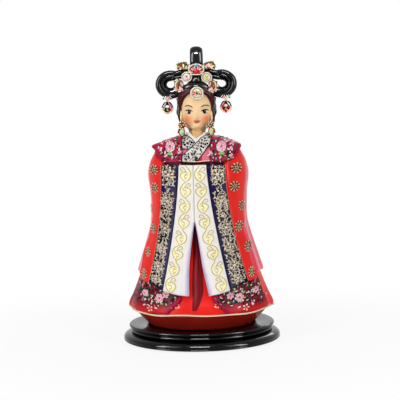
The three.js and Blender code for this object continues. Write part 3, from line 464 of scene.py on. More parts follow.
class Relief:
    """Raised ornament on a surface, collected into one object."""

    def __init__(self, place, mirror=1):
        self.place, self.mirror = place, mirror
        self.verts, self.faces, self.slots = [], [], []

    def at(self, x, z):
        return self.place(x * self.mirror, z)

    def line(self, points, width, height, slot=0, taper=0.3, sides=5):
        """A raised line through points in the front view, thin at its ends."""
        spots = [self.at(*point) for point in points]
        rings = []
        for i, (spot, normal) in enumerate(spots):
            ahead = spots[min(i + 1, len(spots) - 1)][0] - spots[max(i - 1, 0)][0]
            side = normal.cross(ahead).normalized()
            share = i / (len(spots) - 1)
            size = mix(taper, 1, min(1, 4 * min(share, 1 - share) + 0.05)) if taper < 1 else 1
            ring = []
            for k in range(sides):
                angle = math.pi * k / (sides - 1)
                across = math.cos(angle) * width / 2 * size
                up = math.sin(angle) * height * size - 0.12
                ring.append(spot + side * across + normal * up)
            rings.append(ring)
        first = len(self.verts)
        for ring in rings:
            self.verts += ring
        self.add(grid_faces(sides, len(rings), first, wrap=True), slot)
        end = first + (len(rings) - 1) * sides
        self.add(caps(first, end, sides), slot)

    def add(self, faces, slot):
        if self.mirror < 0:
            faces = [tuple(reversed(face)) for face in faces]
        self.faces += faces
        self.slots += [slot] * len(faces)

    def squeezed(self, outline, centre):
        """Pulls a shape together where the surface turns away, so that it isn't drawn out."""
        x, z = centre
        step = 0.3
        across = (self.at(x + step, z)[0] - self.at(x - step, z)[0]).length
        along = (self.at(x, z + step)[0] - self.at(x, z - step)[0]).length
        wide, tall = (min(1.0, 2 * step * MOST_STRETCH / max(length, step)) for length in (across, along))
        return [(x + (a - x) * wide, z + (b - z) * tall) for a, b in outline]

    def mound(self, outline, centre, height, slot=0, inner=None, rim=0.0):
        """A dome over an outline. inner paints the middle, and rim lifts the border for a cup."""
        outline = self.squeezed(outline, centre)
        first, count = len(self.verts), len(outline)
        for share, lift in ((1.0, -0.1), (0.97, 0.35 + rim), (0.66, 0.85), (0.33, 0.97)):
            for x, z in outline:
                spot, normal = self.at(mix(centre[0], x, share), mix(centre[1], z, share))
                self.verts.append(spot + normal * height * lift)
        spot, normal = self.at(*centre)
        self.verts.append(spot + normal * height)
        for ring in range(3):
            start = first + ring * count
            band = [
                (start + k, start + (k + 1) % count, start + count + (k + 1) % count, start + count + k)
                for k in range(count)
            ]
            self.add(band, slot if ring < 2 or inner is None else inner)
        start, top = first + 3 * count, len(self.verts) - 1
        fan = [(start + k, start + (k + 1) % count, top) for k in range(count)]
        self.add(fan, slot if inner is None else inner)

    def petal(self, x, z, angle, length, width, height, slot=0, inner=None, sides=10, notch=0.0, point=0.0):
        """A petal or leaf from its foot at x, z along an angle from straight right."""
        outline = []
        for k in range(sides):
            turn = TAU * k / sides
            along = (1 - math.cos(turn)) / 2
            across = math.sin(turn) / 2
            across *= mix(1, 1.5 * (1 - along), point) if point else mix(0.7, 1.15, along)
            along -= notch * bump(turn - math.pi, 0.5)
            outline.append(self.turned(x, z, angle, along * length, across * width))
        self.mound(outline, self.turned(x, z, angle, 0.55 * length, 0), height, slot, inner)

    def edged(self, x, z, angle, length, width, height, slot, inner=None):
        """A painted petal with a dark line round it."""
        foot = self.turned(x, z, angle, -0.3, 0)
        self.petal(*foot, angle, length + 0.7, width + 0.8, height * 0.55, INK, sides=8)
        self.petal(x, z, angle, length, width, height, slot, inner, sides=8)

    def turned(self, x, z, angle, along, across):
        c, s = math.cos(angle), math.sin(angle)
        return x + along * c - across * s, z + along * s + across * c

    def dot(self, x, z, radius, height, slot=0, sides=8):
        self.mound(ring_of(x, z, radius, radius, sides), (x, z), height, slot)

    def spiral(self, x, z, radius, start, turns, width, height, slot=0, hand=1, steps=14):
        """A curl that winds in from a radius to its eye."""
        points = []
        for i in range(steps + 1):
            t = i / steps
            angle = start + hand * TAU * turns * t
            size = radius * (1 - 0.82 * t)
            points.append((x + size * math.cos(angle), z + size * math.sin(angle)))
        self.line(points, width, height, slot)

    def flower(self, x, z, radius, height, slots, petals=6, tilt=0.0, shade=None, full=1.05):
        """A peony: two rings of cupped petals round a heart. slots are rim, inside and heart."""
        rim, inside, heart = slots
        if shade is not None:
            self.mound(ring_of(x, z, radius * 1.06, radius * 1.06, 20), (x, z), height * 0.3, shade)
        for size, count, lift in ((1.0, petals, 0.6), (0.68, petals - 1, 0.95)):
            for k in range(count):
                angle = tilt + TAU * (k + (0.5 if size < 1 else 0)) / count
                foot = self.turned(x, z, angle, radius * size * 0.18, 0)
                wide = radius * size * full
                self.petal(*foot, angle, radius * size * 0.85, wide, height * lift, rim, inside, 12, 0.12)
        self.dot(x, z, radius * 0.26, height * 1.15, heart)

    def make(self, name, materials, **facts):
        return piece(name, self.verts, self.faces, materials, self.slots, **facts)


def tube(verts, faces, path, section, closed=False):
    """Sweeps a section along a path. section(i) gives offsets (side, up) at point i."""
    first = len(verts)
    count = len(section(0))
    previous = None
    for i, spot in enumerate(path):
        if closed:
            ahead = path[(i + 1) % len(path)] - path[i - 1]
        else:
            ahead = path[min(i + 1, len(path) - 1)] - path[max(i - 1, 0)]
        ahead.normalize()
        if previous is None:
            helper = Vector((0, 1, 0)) if abs(ahead.y) < 0.9 else Vector((1, 0, 0))
            previous = ahead.cross(helper).normalized()
        side = (previous - ahead * previous.dot(ahead)).normalized()
        up = ahead.cross(side)
        previous = side
        for across, lift in section(i):
            verts.append(spot + side * across + up * lift)
    faces += grid_faces(count, len(path), first, wrap=True)
    end = first + (len(path) - 1) * count
    if not closed:
        faces += caps(first, end, count)
        return
    for k in range(count):
        n = (k + 1) % count
        faces.append((end + k, end + n, first + n, first + k))


def circle(radius, sides=10, tall=1.0):
    return ring_of(0, 0, radius, radius * tall, sides)


FLOWERS = [PETAL_WHITE, PETAL_PINK, PETAL_ROSE, LEAF_DARK, LEAF_LIGHT, BLACK, SILVER, CREAM]
LILY, PINK, ROSE, GREEN, LIME, INK, PALE, BUTTER = range(8)


# Base


def turned(name, profile, material, sides=180, **facts):
    """A turned piece from a closed profile of (radius, height) points."""
    verts, count = [], len(profile)
    for i in range(sides):
        angle = TAU * i / sides
        verts += [(r * math.sin(angle), -r * math.cos(angle), z) for r, z in profile]
    faces = []
    for i in range(sides):
        for k in range(count):
            n, j = (k + 1) % count, (i + 1) % sides
            faces.append((i * count + k, j * count + k, j * count + n, i * count + n))
    return piece(name, verts, faces, [material], **facts)


def rounded(points, steps=6):
    """The smooth curve through profile points."""
    count = (len(points) - 1) * steps
    return [tuple(catmull(points, i / count)) for i in range(count + 1)]


LACQUER = paint("black_lacquer", "#030202", 0.05, 0.14, 0.04, scale=90)
FELT = paint("black_felt", "#18181A", 0.95, 0.008, 0.3, scale=2600)

TIER_BORE = 8
TIER_FOOT = 1.0
TIER_JOINT = 8.1
UPPER_FOOT = 8.2

lower_edge = rounded([(66.0, TIER_FOOT), (66.7, 1.4), (66.9, 2.0), (66.5, 2.5)])
lower_edge += rounded([
    (66.5, 2.7), (66.9, 3.6), (66.6, 4.8), (65.4, 6.2), (63.2, 7.4), (60.4, 8.0), (57.0, TIER_JOINT),
])
turned("lower_tier_turned", [(TIER_BORE, TIER_FOOT), *lower_edge, (TIER_BORE, TIER_JOINT)], LACQUER,
       replaces=["base_lower_tier"], slot="lacquer")
upper_edge = rounded([
    (58.6, UPPER_FOOT), (59.8, 8.5), (60.6, 9.2), (60.8, 10.0), (60.4, 10.8), (59.8, 11.2),
])
upper_edge += rounded([
    (59.9, 11.4), (60.9, 11.8), (61.8, 12.6), (62.1, 13.4), (61.8, 14.2), (61.0, 14.7), (60.0, BASE_TOP),
])
turned("upper_tier_turned", [(TIER_BORE, UPPER_FOOT), *upper_edge, (TIER_BORE, BASE_TOP)], LACQUER,
       replaces=["base_upper_tier"], slot="lacquer")


# Robe and skirt


def robe_folds(angle, z):
    """Folds that open towards the hem: corners at the sides and a fan of them behind."""
    low = clamp((92 - z) / 64)
    away = abs(math.remainder(angle, TAU))
    corner = 2.9 * low**3 * bump(away - 1.53, 0.1)
    behind = smooth((away - 1.75) / 0.4)
    return corner + behind * low**1.3 * (1.5 * math.cos(9 * away) - 0.6)


def sleeve_folds(angle, z):
    away = abs(math.remainder(angle, TAU))
    return 0.7 * clamp((150 - z) / 90) * math.cos(16 * (away - 1.2)) * smooth((away - 1.0) / 0.25)


ROBE = Form(ROBE_ROWS, robe_folds)
SKIRT = Form([(z, a - 2.5, b - 2.5, c - 2.5) for z, a, b, c in ROBE_ROWS])
SLEEVE = Form(SLEEVE_ROWS, sleeve_folds)
ROBE_THICKNESS = 2.2
SKIRT_THICKNESS = 3
ROBE_OVER_HEM = 1.2


def robe_opening(z):
    """Half width of the gap between the robe's front edges."""
    return mix(24.2, 13.2, smooth(clamp((z - 30) / 13)) ** 0.8)


def hem_line(angle):
    wave = 0.35 * math.cos(5 * angle + 0.4) + 0.25 * math.cos(9 * angle + 2.0)
    return HEM + 0.5 * bump(angle, 0.8) + wave + 1.2 * bump(abs(angle) - 1.53, 0.16)


def underskirt():
    form = Form([
        (14.8, 45, 45, 45), (18, 48, 47.4, 47.4), (22, 51.8, 50.6, 50.6),
        (26, 55.4, 54, 54), (28.6, 57.8, 56, 56),
    ], lambda angle, z: 0.35 * clamp((z - 15) / 12) * math.cos(18 * angle))
    def outer(u, v, lift):
        return form.point(mix(-math.pi, math.pi, u), mix(BASE_TOP, HEM + 0.2, v), lift)
    shell("underskirt_cone", outer, SKIRT_THICKNESS, 120, even(14), UNDER_RED,
          replaces=["underskirt"], slot="deep_red")


def skirt():
    def outer(u, v, lift):
        angle = mix(-math.pi, math.pi, u)
        return SKIRT.point(angle, mix(hem_line(angle), WAIST, v), lift)
    vs = [0, 0.004, 0.012, *(0.012 + 0.988 * s for s in even(40)[1:])]
    shell("skirt_shell", outer, SKIRT_THICKNESS, 120, vs, BRIGHT_RED, replaces=["skirt"], slot="bright_red")


def hem_piping():
    path = []
    for i in range(240):
        angle = TAU * i / 240
        spot, normal = ROBE.frame(angle, hem_line(math.remainder(angle, TAU)))
        sunk = 0.9 - clamp(-1.0 - robe_folds(angle, HEM), 0.0, 0.9)
        path.append(spot - normal * sunk + Vector((0, 0, 0.35)))
    verts, faces = [], []
    tube(verts, faces, path, lambda i: circle(0.62, 10, 1.5), closed=True)
    piece("hem_piping_cord", verts, faces, [CREAM], replaces=["hem_piping"], slot="cream")


def pleat_edges(z):
    """The fold's two edges. Its right foot is cut away on a slant."""
    wide = mix(2.6, 4.5, smooth(clamp((104 - z) / 58)))
    middle = mix(0.9, 0.0, clamp((z - 45) / 50))
    left, right = middle - wide, middle + wide
    return left, mix(left + 2.6, right, clamp((z - PLEAT_FOOT) / 14) ** 0.6)


def front_pleat():
    def place(u, v):
        z = mix(PLEAT_FOOT, 108.0, v)
        return mix(*pleat_edges(z), u), z
    def outer(u, v, lift):
        x, z = place(u, v)
        folds = 0.5 * math.sin(math.pi * u) + 1.1 * smooth(u / 0.5) * smooth((0.62 - u) / 0.06)
        return SKIRT.point(SKIRT.angle(x, z), z, 0.25 + folds + 0.5 * lift)
    def inner(u, v):
        x, z = place(u, v)
        return SKIRT.point(SKIRT.angle(x, z), z, 0.1)
    vs = [0, 0.004, 0.01, 0.02, 0.035, 0.05, *(mix(0.07, 1, s) for s in even(30))]
    # The fold is painted a darker red than the skirt, which is painted shade.
    slab("front_pleat_folds", outer, inner, spread(25, 0.06), vs, [PLEAT_SHADE_RED],
         edges=(0.06, None), radius=0.6, replaces=["front_pleat"], slot="pleat_red")


def robe_material():
    """Crimson that turns to bright red towards the hem."""
    material = paint("robe_crimson", "#6E0C24", 0.26, 0.024, 0.1, other="#8A142E")
    tint(material, "#D02428", 0.9, height_in(material), 31, 39)
    return material


ROBE_RED = robe_material()


def robe_front(side, name):
    top, side_edge = 112.0, 1.7
    def outer(u, v, lift):
        z = mix(hem_line(mix(0.3, side_edge, u)) + ROBE_OVER_HEM, top, v)
        return ROBE.point(side * mix(ROBE.angle(robe_opening(z), z), side_edge, u), z, lift)
    def slot_of(u, v):
        if side > 0 and u > 0.7:
            return 2
        return 1 if u < 0.05 and v < 0.3 else 0
    vs = [0, 0.004, 0.01, 0.018, *(mix(0.03, 1, s) for s in even(34))]
    slab("robe_panel_" + name, outer, ROBE_THICKNESS, spread(44, 0.03), vs, [ROBE_RED, CRIMSON, BRIGHT_RED],
         slot_of, edges=(0.03, 0.018), radius=0.9, replaces=["robe_front_" + name], slot="crimson")


def robe_back():
    top, side_edge = 171.5, 1.73
    def outer(u, v, lift):
        turn = mix(side_edge, TAU - side_edge, u)
        return ROBE.point(turn, mix(hem_line(math.remainder(turn, TAU)) + ROBE_OVER_HEM, top, v), lift)
    slab("robe_back_folds", outer, ROBE_THICKNESS, spread(90, 0.012), spread(60, 0.01), [PINK_RED],
         edges=(0.012, 0.01), replaces=["robe_back"], slot="pink_red")


# Sleeves, bands and cuffs


def drift(z, high, low):
    """The folded sleeves lean towards the doll's right at their top."""
    return mix(low, high, clamp((z - 48) / 102))


def cuff_edge(z, side):
    down = clamp((LEDGE - z) / (LEDGE - BAND_FOOT_INSIDE))
    return mix(11.6, 28.0, down**1.45) + side * drift(z, -2.0, -0.4)


def band_edge(z, side):
    foot = 42.8 if side > 0 else 41.4
    down = clamp((LEDGE - z) / (LEDGE - BAND_FOOT_OUTSIDE), 0, 1.2)
    return mix(27.2, foot, down**2) + side * drift(z, -2.2, 0.0)


def band_foot(u):
    return mix(BAND_FOOT_INSIDE, BAND_FOOT_OUTSIDE, u)


def slit_edge(z, side):
    """Where a cuff's inner edge runs. The slit swings towards the doll's left as it opens."""
    half = 8.5 * clamp((105.5 - z) / 59.5) ** 0.85
    swing = 2.5 * clamp((72 - z) / 26) ** 1.3
    return max(half, 0.12) + side * (swing + drift(z, -1.4, -0.4))


def no_roll(u, z):
    return 0.0


def front_slab(name, side, proud, low, high, left, right, materials, slot_of, roll=no_roll, **facts):
    """A sleeve layer over the robe: low and high give its heights, left and right its edges."""
    def place(u, v):
        z = mix(low(u), high, v)
        return mix(left(z), right(z), u), z
    def outer(u, v, lift):
        x, z = place(u, v)
        return SLEEVE.point(side * SLEEVE.angle(x, z), z, proud + lift + roll(u, z))
    def inner(u, v):
        x, z = place(u, v)
        return ROBE.point(side * ROBE.angle(x, z), z, GAP)
    vs = [0, 0.002, 0.006, 0.012, *(mix(0.018, 0.985, s) for s in even(70)), 0.99, 0.995, 0.998, 1]
    slab(name, outer, inner, spread(30, 0.04), vs, materials, slot_of, (0.05, 0.012), 1.1, side < 0, **facts)


def cuff_roll(u, z):
    """The cuff is slightly crowned, and its inner side rolls back towards the slit."""
    lower = clamp((112 - z) / 40)
    return lower * (-2.6 * bump(u, 0.12) - 0.5 * bump(u - 0.24, 0.05)) + 0.5 * math.sin(math.pi * u)


def cuff_place(side):
    """Places on the cuff's surface seen from the front, with x counted outwards."""
    def place(x, z):
        x = side * x
        inner = slit_edge(z, side)
        u = clamp((x - inner) / (cuff_edge(z, side) - 0.15 - inner))
        point, normal = SLEEVE.frame(side * SLEEVE.angle(x, z), z)
        return point + normal * (0.82 + cuff_roll(u, z)), normal
    return place


def cuff(side, name):
    def slot_of(u, v):
        """The roll beside the slit is painted in three steps of lavender, darker towards the slit: painted
        shade where the cloth turns away.
        """
        if v > 0.56:
            return 0
        reach = 0.6 + 0.9 * clamp((0.5 - v) / 0.5)
        return sum(u < step * reach for step in (0.05, 0.1, 0.17))
    front_slab(
        "cuff_panel_" + name, side, 0.8, lambda u: mix(45.0, 48.3, u) - 0.5 * math.sin(math.pi * u), LEDGE,
        lambda z: slit_edge(z, side), lambda z: cuff_edge(z, side) - 0.15,
        [WHITE, PALE_FOLD_SHADE, MID_FOLD_SHADE, LAVENDER_FOLD_SHADE], slot_of, cuff_roll, replaces=["cuff_" + name], slot="white",
    )


def band(side, name):
    top = LEDGE - 0.2
    def slot_of(u, v):
        z = mix(band_foot(u), top, v)
        return 0 if u < 0.2 or abs(z - BROCADE_BREAK) < 3.4 else 1
    front_slab(
        "band_panel_" + name, side, 0.0, band_foot, top, lambda z: cuff_edge(z, side) + 0.15,
        lambda z: band_edge(z, side) - 0.15, [NAVY, BLACK], slot_of,
        replaces=["sleeve_band_" + name], slot="navy",
    )


def sleeve_top(turn):
    """The sleeve ends just under the cape's edge, which climbs to the point of the shoulder."""
    return mix(151.8, 164.0, clamp((turn - 0.72) / 0.8) ** 0.85)


def sleeve_point(turn, z, lift):
    """A point of the sleeve. Near its top it rounds back to the shoulder under the cape."""
    spot = SLEEVE.point(turn, z, lift)
    top = sleeve_top(abs(turn))
    near = smooth(1 - (top - z) / 9.0) * smooth((abs(turn) - 0.72) / 0.12)
    return spot.lerp(ROBE.point(turn, z, 0.9 + lift * 0.5), 0.92 * near)


# Height and reach of the fold's line at each side, from the top down
FOLD_LEFT = [(112.0, 40.4), (99.0, 38.4), (76.0, 43.4), (53.0, 50.4)]
FOLD_RIGHT = [(112.0, 41.0), (92.0, 41.4), (78.0, 46.6), (53.0, 50.2)]


def fold_edge(z, side):
    """Where the sleeve's red front layer ends and its pink lining shows."""
    line = FOLD_LEFT if side > 0 else FOLD_RIGHT
    if z >= line[0][0]:
        return line[0][1]
    for (high, a), (low, b) in zip(line, line[1:]):
        if z >= low:
            return mix(b, a, smooth((z - low) / (high - low)))
    return line[-1][1]


def sleeve(side, name):
    """The red sleeve round the side, with the fold of its pink lining behind it."""
    split = 0.4
    def height(u, v):
        if u < split - 0.04:
            low = mix(53.8, 56.2, (u / split) ** 2)
        else:
            low = mix(56.2, 59.4, smooth((u - split + 0.04) / 0.06))
        return mix(low, sleeve_top(0.72 + 0.85 * clamp(u / 0.5)), v)
    def turn(u, z):
        fold = SLEEVE.angle(fold_edge(z, side), z)
        if u < split:
            return mix(SLEEVE.angle(band_edge(z, side) + 0.15, z), fold, u / split)
        last = math.pi - math.acos(clamp(16 / SLEEVE.sizes(round(z, 4))[2]))
        return mix(fold, last, (u - split) / (1 - split))
    def outer(u, v, lift):
        z = height(u, v)
        step = -1.6 * smooth((u - split) / 0.03) * clamp((118 - z) / 50)
        return sleeve_point(side * turn(u, z), z, lift + step)
    def inner(u, v):
        z = height(u, v)
        return ROBE.point(side * turn(u, z), z, GAP)
    def slot_of(u, v):
        return 1 if u > split + 0.02 else 0
    slab("sleeve_shell_" + name, outer, inner, spread(64, 0.02), spread(72, 0.012), [BRIGHT_RED, PINK_RED],
         slot_of, (0.02, 0.012), 1.0, side < 0, replaces=["sleeve_" + name], slot="bright_red")


# Ornament of the dress


# Height of the vine on the cuff and its distance from the doll's middle, from the foot up
VINE_ROWS = [(54, 20.4), (66, 17.4), (79, 14.3), (91, 11.2), (103, 8.4), (130, 6.3), (150, 5.6)]
VINE_TOP = 150.6
VINE_FOOT = 47.2
VINE_CELLS = 8
# Place in a cell, angle, length and paint of each leaf
VINE_LEAVES = [
    (1.4, 1.4, 0.7, 2.0, 2), (1.2, 1.0, -0.5, 2.2, 2), (-0.8, 2.2, 2.4, 1.5, 2),
    (0.2, -3.2, -1.3, 1.9, 2), (-1.6, -2.2, 2.0, 1.8, 1), (2.2, -2.2, 0.8, 1.6, 1),
]


def scroll_middle(z, side):
    """Where the vine's middle runs, which wanders a little from the drawn line."""
    drawn = VINE_ROWS[-1][1]
    for (low, a), (high, b) in zip(VINE_ROWS, VINE_ROWS[1:]):
        if z <= high:
            drawn = mix(a, b, clamp((z - low) / (high - low)))
            break
    return drawn + side * drift(z, -1.7, -0.4)


def cuff_scroll(side, name):
    """A vine of crossing arcs down the cuff. Each cell holds a hook, curls, leaves and pale yellow."""
    relief = Relief(cuff_place(side), side)
    chance = random.Random(31 if side > 0 else 32)
    pitch = (VINE_TOP - VINE_FOOT) / VINE_CELLS
    half = pitch / 2
    for k in range(VINE_CELLS):
        z, hand = VINE_TOP - pitch * (k + 0.5), 1 if k % 2 else -1
        x = scroll_middle(z, side)
        above, below = scroll_middle(z + half, side) - x, scroll_middle(z - half, side) - x
        def drawn(points):
            return [(x + hand * a, z + b) for a, b in points]
        for angle in (2.1, 1.05):
            lean = math.pi / 2 + hand * (math.pi / 2 - angle)
            relief.petal(x + below * 0.8, z - half * 0.78, lean, 6.4, 3.8, 0.2, 1)
        relief.petal(x + hand * 0.6, z + 0.6, math.pi / 2 - hand * 0.5, 3.6, 2.2, 0.2, 1)
        arc = [
            (above * hand, half), (2.1, half * 0.74), (4.1, half * 0.24),
            (3.9, -half * 0.34), (2.1, -half * 0.74), (below * hand, -half),
        ]
        near = [(1.0, 1.9), (-1.2, 2.1), (-3.6, 0.8), (-4.3, -1.4), (-2.9, -3.8), (below * hand, -half)]
        hook = [
            (2.2, 0.9), (0.4, 2.5), (-0.8, 4.3), (-2.2, 5.4),
            (-3.7, 5.0), (-4.1, 3.6), (-3.0, 2.9), (-2.3, 3.7),
        ]
        curl = [(2.2, -1.0), (0.6, -0.3), (-0.8, -1.2), (-0.5, -2.8), (0.9, -2.9), (0.9, -1.9)]
        for path, width in ((arc, 0.85), (near, 0.8), (hook, 0.75), (curl, 0.7)):
            points = drawn(path)
            relief.line([catmull(points, i / 26) for i in range(27)], width, 0.5, 0, 0.7)
        for dx, dz, angle, length, color in VINE_LEAVES:
            turn = angle + chance.uniform(-0.2, 0.2)
            relief.petal(x + hand * dx, z + dz, turn, length, length * 0.45, 0.4, color, sides=8, point=0.5)
    relief.make("cuff_scroll_" + name, [GOLD, YELLOW, LEAF_GOLD], slot="white")


def band_brocade(side, name, seed):
    """Dense leaves, curls and flower heads in cast relief, with a plain strip of navy inside."""
    chance = random.Random(seed)
    relief = Relief(SLEEVE.front(0.05), side)
    heads = [(143.4, 5.2), (121.5, 4.6), (99.0, 4.2), (83.0, 3.6), (68.0, 4.2), (57.6, 3.6)]
    def middle(z):
        return (cuff_edge(z, side) + 2.2 + band_edge(z, side) - 0.6) / 2
    for height, radius in heads:
        x, tilt = middle(height) + chance.uniform(-0.6, 0.6), chance.uniform(0, TAU)
        for k in range(6):
            angle = tilt + TAU * k / 6
            foot = relief.turned(x, height, angle, radius * 0.25, 0)
            relief.petal(*foot, angle, radius * 0.8, radius * 0.46, 1.0, k % 2, 1 - k % 2, notch=0.1)
            eye = relief.turned(x, height, angle + 0.5, radius * 0.9, 0)
            relief.spiral(*eye, radius * 0.3, angle, 1.0, 0.6, 0.8, steps=9)
        relief.dot(x, height, radius * 0.3, 1.3, 0)
    z = 149.8
    while z > 50.5:
        near = abs(z - BROCADE_BREAK) < 2.6
        left = cuff_edge(z, side) + (6.0 if near else 2.6)
        right = band_edge(z, side) - (4.5 if near else 0.9)
        count = max(2, round((right - left) / 2.9))
        for i in range(count):
            x = mix(left, right, (i + 0.5) / count) + chance.uniform(-0.5, 0.5)
            h = z + chance.uniform(-0.6, 0.6)
            share = (x - cuff_edge(h, side)) / (band_edge(h, side) - cuff_edge(h, side))
            if h < band_foot(share) + 1.8:
                continue
            if any((x - middle(f)) ** 2 + (h - f) ** 2 < (r * 0.9) ** 2 for f, r in heads):
                continue
            kind, angle = chance.random(), chance.uniform(0, TAU)
            color = 0 if chance.random() < 0.72 else 1
            if kind < 0.35:
                relief.spiral(x, h, 1.5, angle, 0.75, 0.72, 0.9, 0, chance.choice((-1, 1)), 8)
            elif kind < 0.88:
                for turn, slot in ((0.0, 0), (1.5, color), (3.2, color)):
                    tall = chance.uniform(0.7, 1.0)
                    relief.petal(x, h, angle + turn, 2.2, 0.95, tall, slot, sides=8, point=0.4)
            else:
                relief.dot(x, h, 0.8, 0.8, 3)
                relief.petal(x, h, angle, 2.2, 0.9, 0.7, color, sides=8, point=0.5)
        z -= 2.8
    edge = [(band_edge(h, side) - 0.35, h) for h in (mix(LEDGE - 0.6, 54.6, s) for s in even(40))]
    relief.line(edge, 0.5, 0.45, 4, 1.0)
    relief.make("band_brocade_" + name, [SILVER, BROWN, LEAF_GOLD, CREAM, PIPING_PINK], slot="navy")


def rosette(relief, x, z, wide, tall, tilt):
    """A round flower of thin pale petals with dark ones between them."""
    def at(angle, share):
        return x + wide * share * math.cos(angle), z + tall * share * math.sin(angle)
    def petal(angle, first, last, width, height, slot):
        (x0, z0), (x1, z1) = at(angle, first), at(angle, last)
        lean, length = math.atan2(z1 - z0, x1 - x0), math.hypot(x1 - x0, z1 - z0)
        relief.petal(x0, z0, lean, length, width, height, slot, sides=8)
    relief.mound(ring_of(x, z, wide * 0.82, tall * 0.82, 20, 0.08, 9), (x, z), 0.3, 1)
    for k in range(9):
        angle = tilt + TAU * k / 9
        petal(angle, 0.5, 1.0, 1.15, 0.7, (0, 2, 0)[k % 3])
        petal(angle + 0.35, 0.58, 0.92, 0.7, 0.5, 4)
    for k in range(6):
        petal(tilt + TAU * (k + 0.25) / 6, 0.08, 0.5, 0.9, 0.75, (0, 2, 3)[k % 3])
    relief.dot(x, z, 0.5, 0.9, 1)


# Middle, half width and half height of each rosette
LEFT_ROSETTES = [
    (33.7, 147.7, 4.4, 4.6), (31.9, 132.6, 4.3, 4.6), (37.0, 115.6, 2.6, 4.5),
    (34.8, 99.0, 3.4, 4.6), (41.9, 81.7, 2.9, 4.8), (44.6, 61.0, 2.7, 4.6),
]
RIGHT_ROSETTES = [
    (35.6, 147.1, 4.2, 4.4), (35.2, 132.1, 3.7, 4.6), (39.6, 113.5, 1.4, 4.4),
    (37.1, 97.5, 2.6, 4.4), (41.9, 78.5, 2.4, 4.2), (45.4, 60.4, 2.8, 4.4),
]

ROSETTE_TAN = paint("rosette_tan", "#CDB08A", 0.35, 0.04, 0.15, other="#E6D4B4")


def sleeve_rosettes(side, name, places):
    relief = Relief(SLEEVE.front(0.0), side)
    for k, place in enumerate(places):
        rosette(relief, *place, 0.37 * k)
    paints = [ROSETTE_TAN, ROSETTE_DARK, ROSETTE_ROSE, LEAF_GOLD, BLACK]
    relief.make("sleeve_rosettes_" + name, paints, slot="bright_red")


def robe_flowers(side, name, roses, seed):
    """Peonies among leaves and petals along the lower robe."""
    chance = random.Random(seed)
    relief = Relief(ROBE.front(0.1), side)
    for x, z, radius in roses:
        relief.flower(x, z, radius, 1.3, (LILY, PINK, ROSE), 6, chance.random(), INK, 0.72)
        for angle, leaf in ((3.9, GREEN), (0.8, LIME if side > 0 else GREEN)):
            relief.petal(*relief.turned(x, z, angle, radius, 0), angle, 3.2, 1.6, 0.7, leaf, point=0.7)
    z = 36.4
    while z < 56:
        x = robe_opening(z) + 2.4 + chance.uniform(0, 1.4)
        while x < 0.945 * ROBE.sizes(round(z, 4))[0]:
            h = z + chance.uniform(-0.8, 0.8)
            crowded = any((x - a) ** 2 + (h - b) ** 2 < (r * 0.95) ** 2 for a, b, r in roses)
            if not crowded and chance.random() < 0.92:
                angle, kind = chance.uniform(0, TAU), chance.random()
                if kind < 0.22:
                    relief.edged(x, h, angle, 2.4, 1.0, 1.0, LILY)
                elif kind < 0.35:
                    relief.edged(x, h, angle, 2.3, 1.2, 0.9, PINK, ROSE)
                elif kind < 0.6:
                    leaf = GREEN if chance.random() < 0.8 else LIME
                    relief.petal(x, h, angle, 2.8, 1.2, 0.7, leaf, point=0.7)
                elif kind < 0.92:
                    relief.petal(x, h, angle, 2.9, 1.2, 0.6, INK, point=0.5)
                else:
                    relief.dot(x, h, 0.7, 0.7, BUTTER)
            x += 2.1
        z += 1.9
    for k in range(5):
        angle = TAU * k / 5
        relief.petal(*relief.turned(39.9, 33.2, angle, 1.0, 0), angle, 1.7, 1.2, 0.7, BUTTER, BUTTER)
    relief.dot(39.9, 33.2, 0.8, 0.8, ROSE)
    relief.petal(46.5, 34.5, 2.6, 3.0, 1.4, 0.7, PINK, LILY)
    relief.petal(33.0, 33.4, 0.4, 3.0, 1.4, 0.7, PINK, LILY)
    relief.petal(52.0, 33.2, 1.9, 2.8, 1.2, 0.7, GREEN, point=0.6)
    relief.make("robe_flowers_" + name, FLOWERS, slot="crimson")
    small = Relief(SKIRT.front(0.1), side)
    x, z = 18.6, 39.6
    small.flower(x, z, 2.5, 0.9, (LILY, BUTTER, ROSE), 5, 0.4)
    for k in range(7):
        angle = TAU * k / 7 + 0.2
        color = (BUTTER, INK, LILY, PALE)[k % 4]
        small.petal(*small.turned(x, z, angle, 2.4, 0), angle, 2.2, 1.3, 0.7, color, point=0.5)
    small.petal(x - 1.4, z - 5.6, 1.2, 2.8, 1.3, 0.7, PALE)
    small.petal(x - 2.2, z - 5.0, 2.6, 2.4, 1.2, 0.7, BUTTER)
    small.petal(x + 1.0, z + 4.2, 1.9, 2.6, 1.2, 0.7, BUTTER)
    small.make("skirt_flowers_" + name, FLOWERS, slot="bright_red")


LEFT_ROSES = [(34.5, 41.4, 4.0), (27.2, 43.4, 3.2), (47.5, 45.5, 3.0)]
RIGHT_ROSES = [(31.4, 41.9, 4.0), (25.8, 45.3, 3.2), (44.6, 44.5, 3.0)]


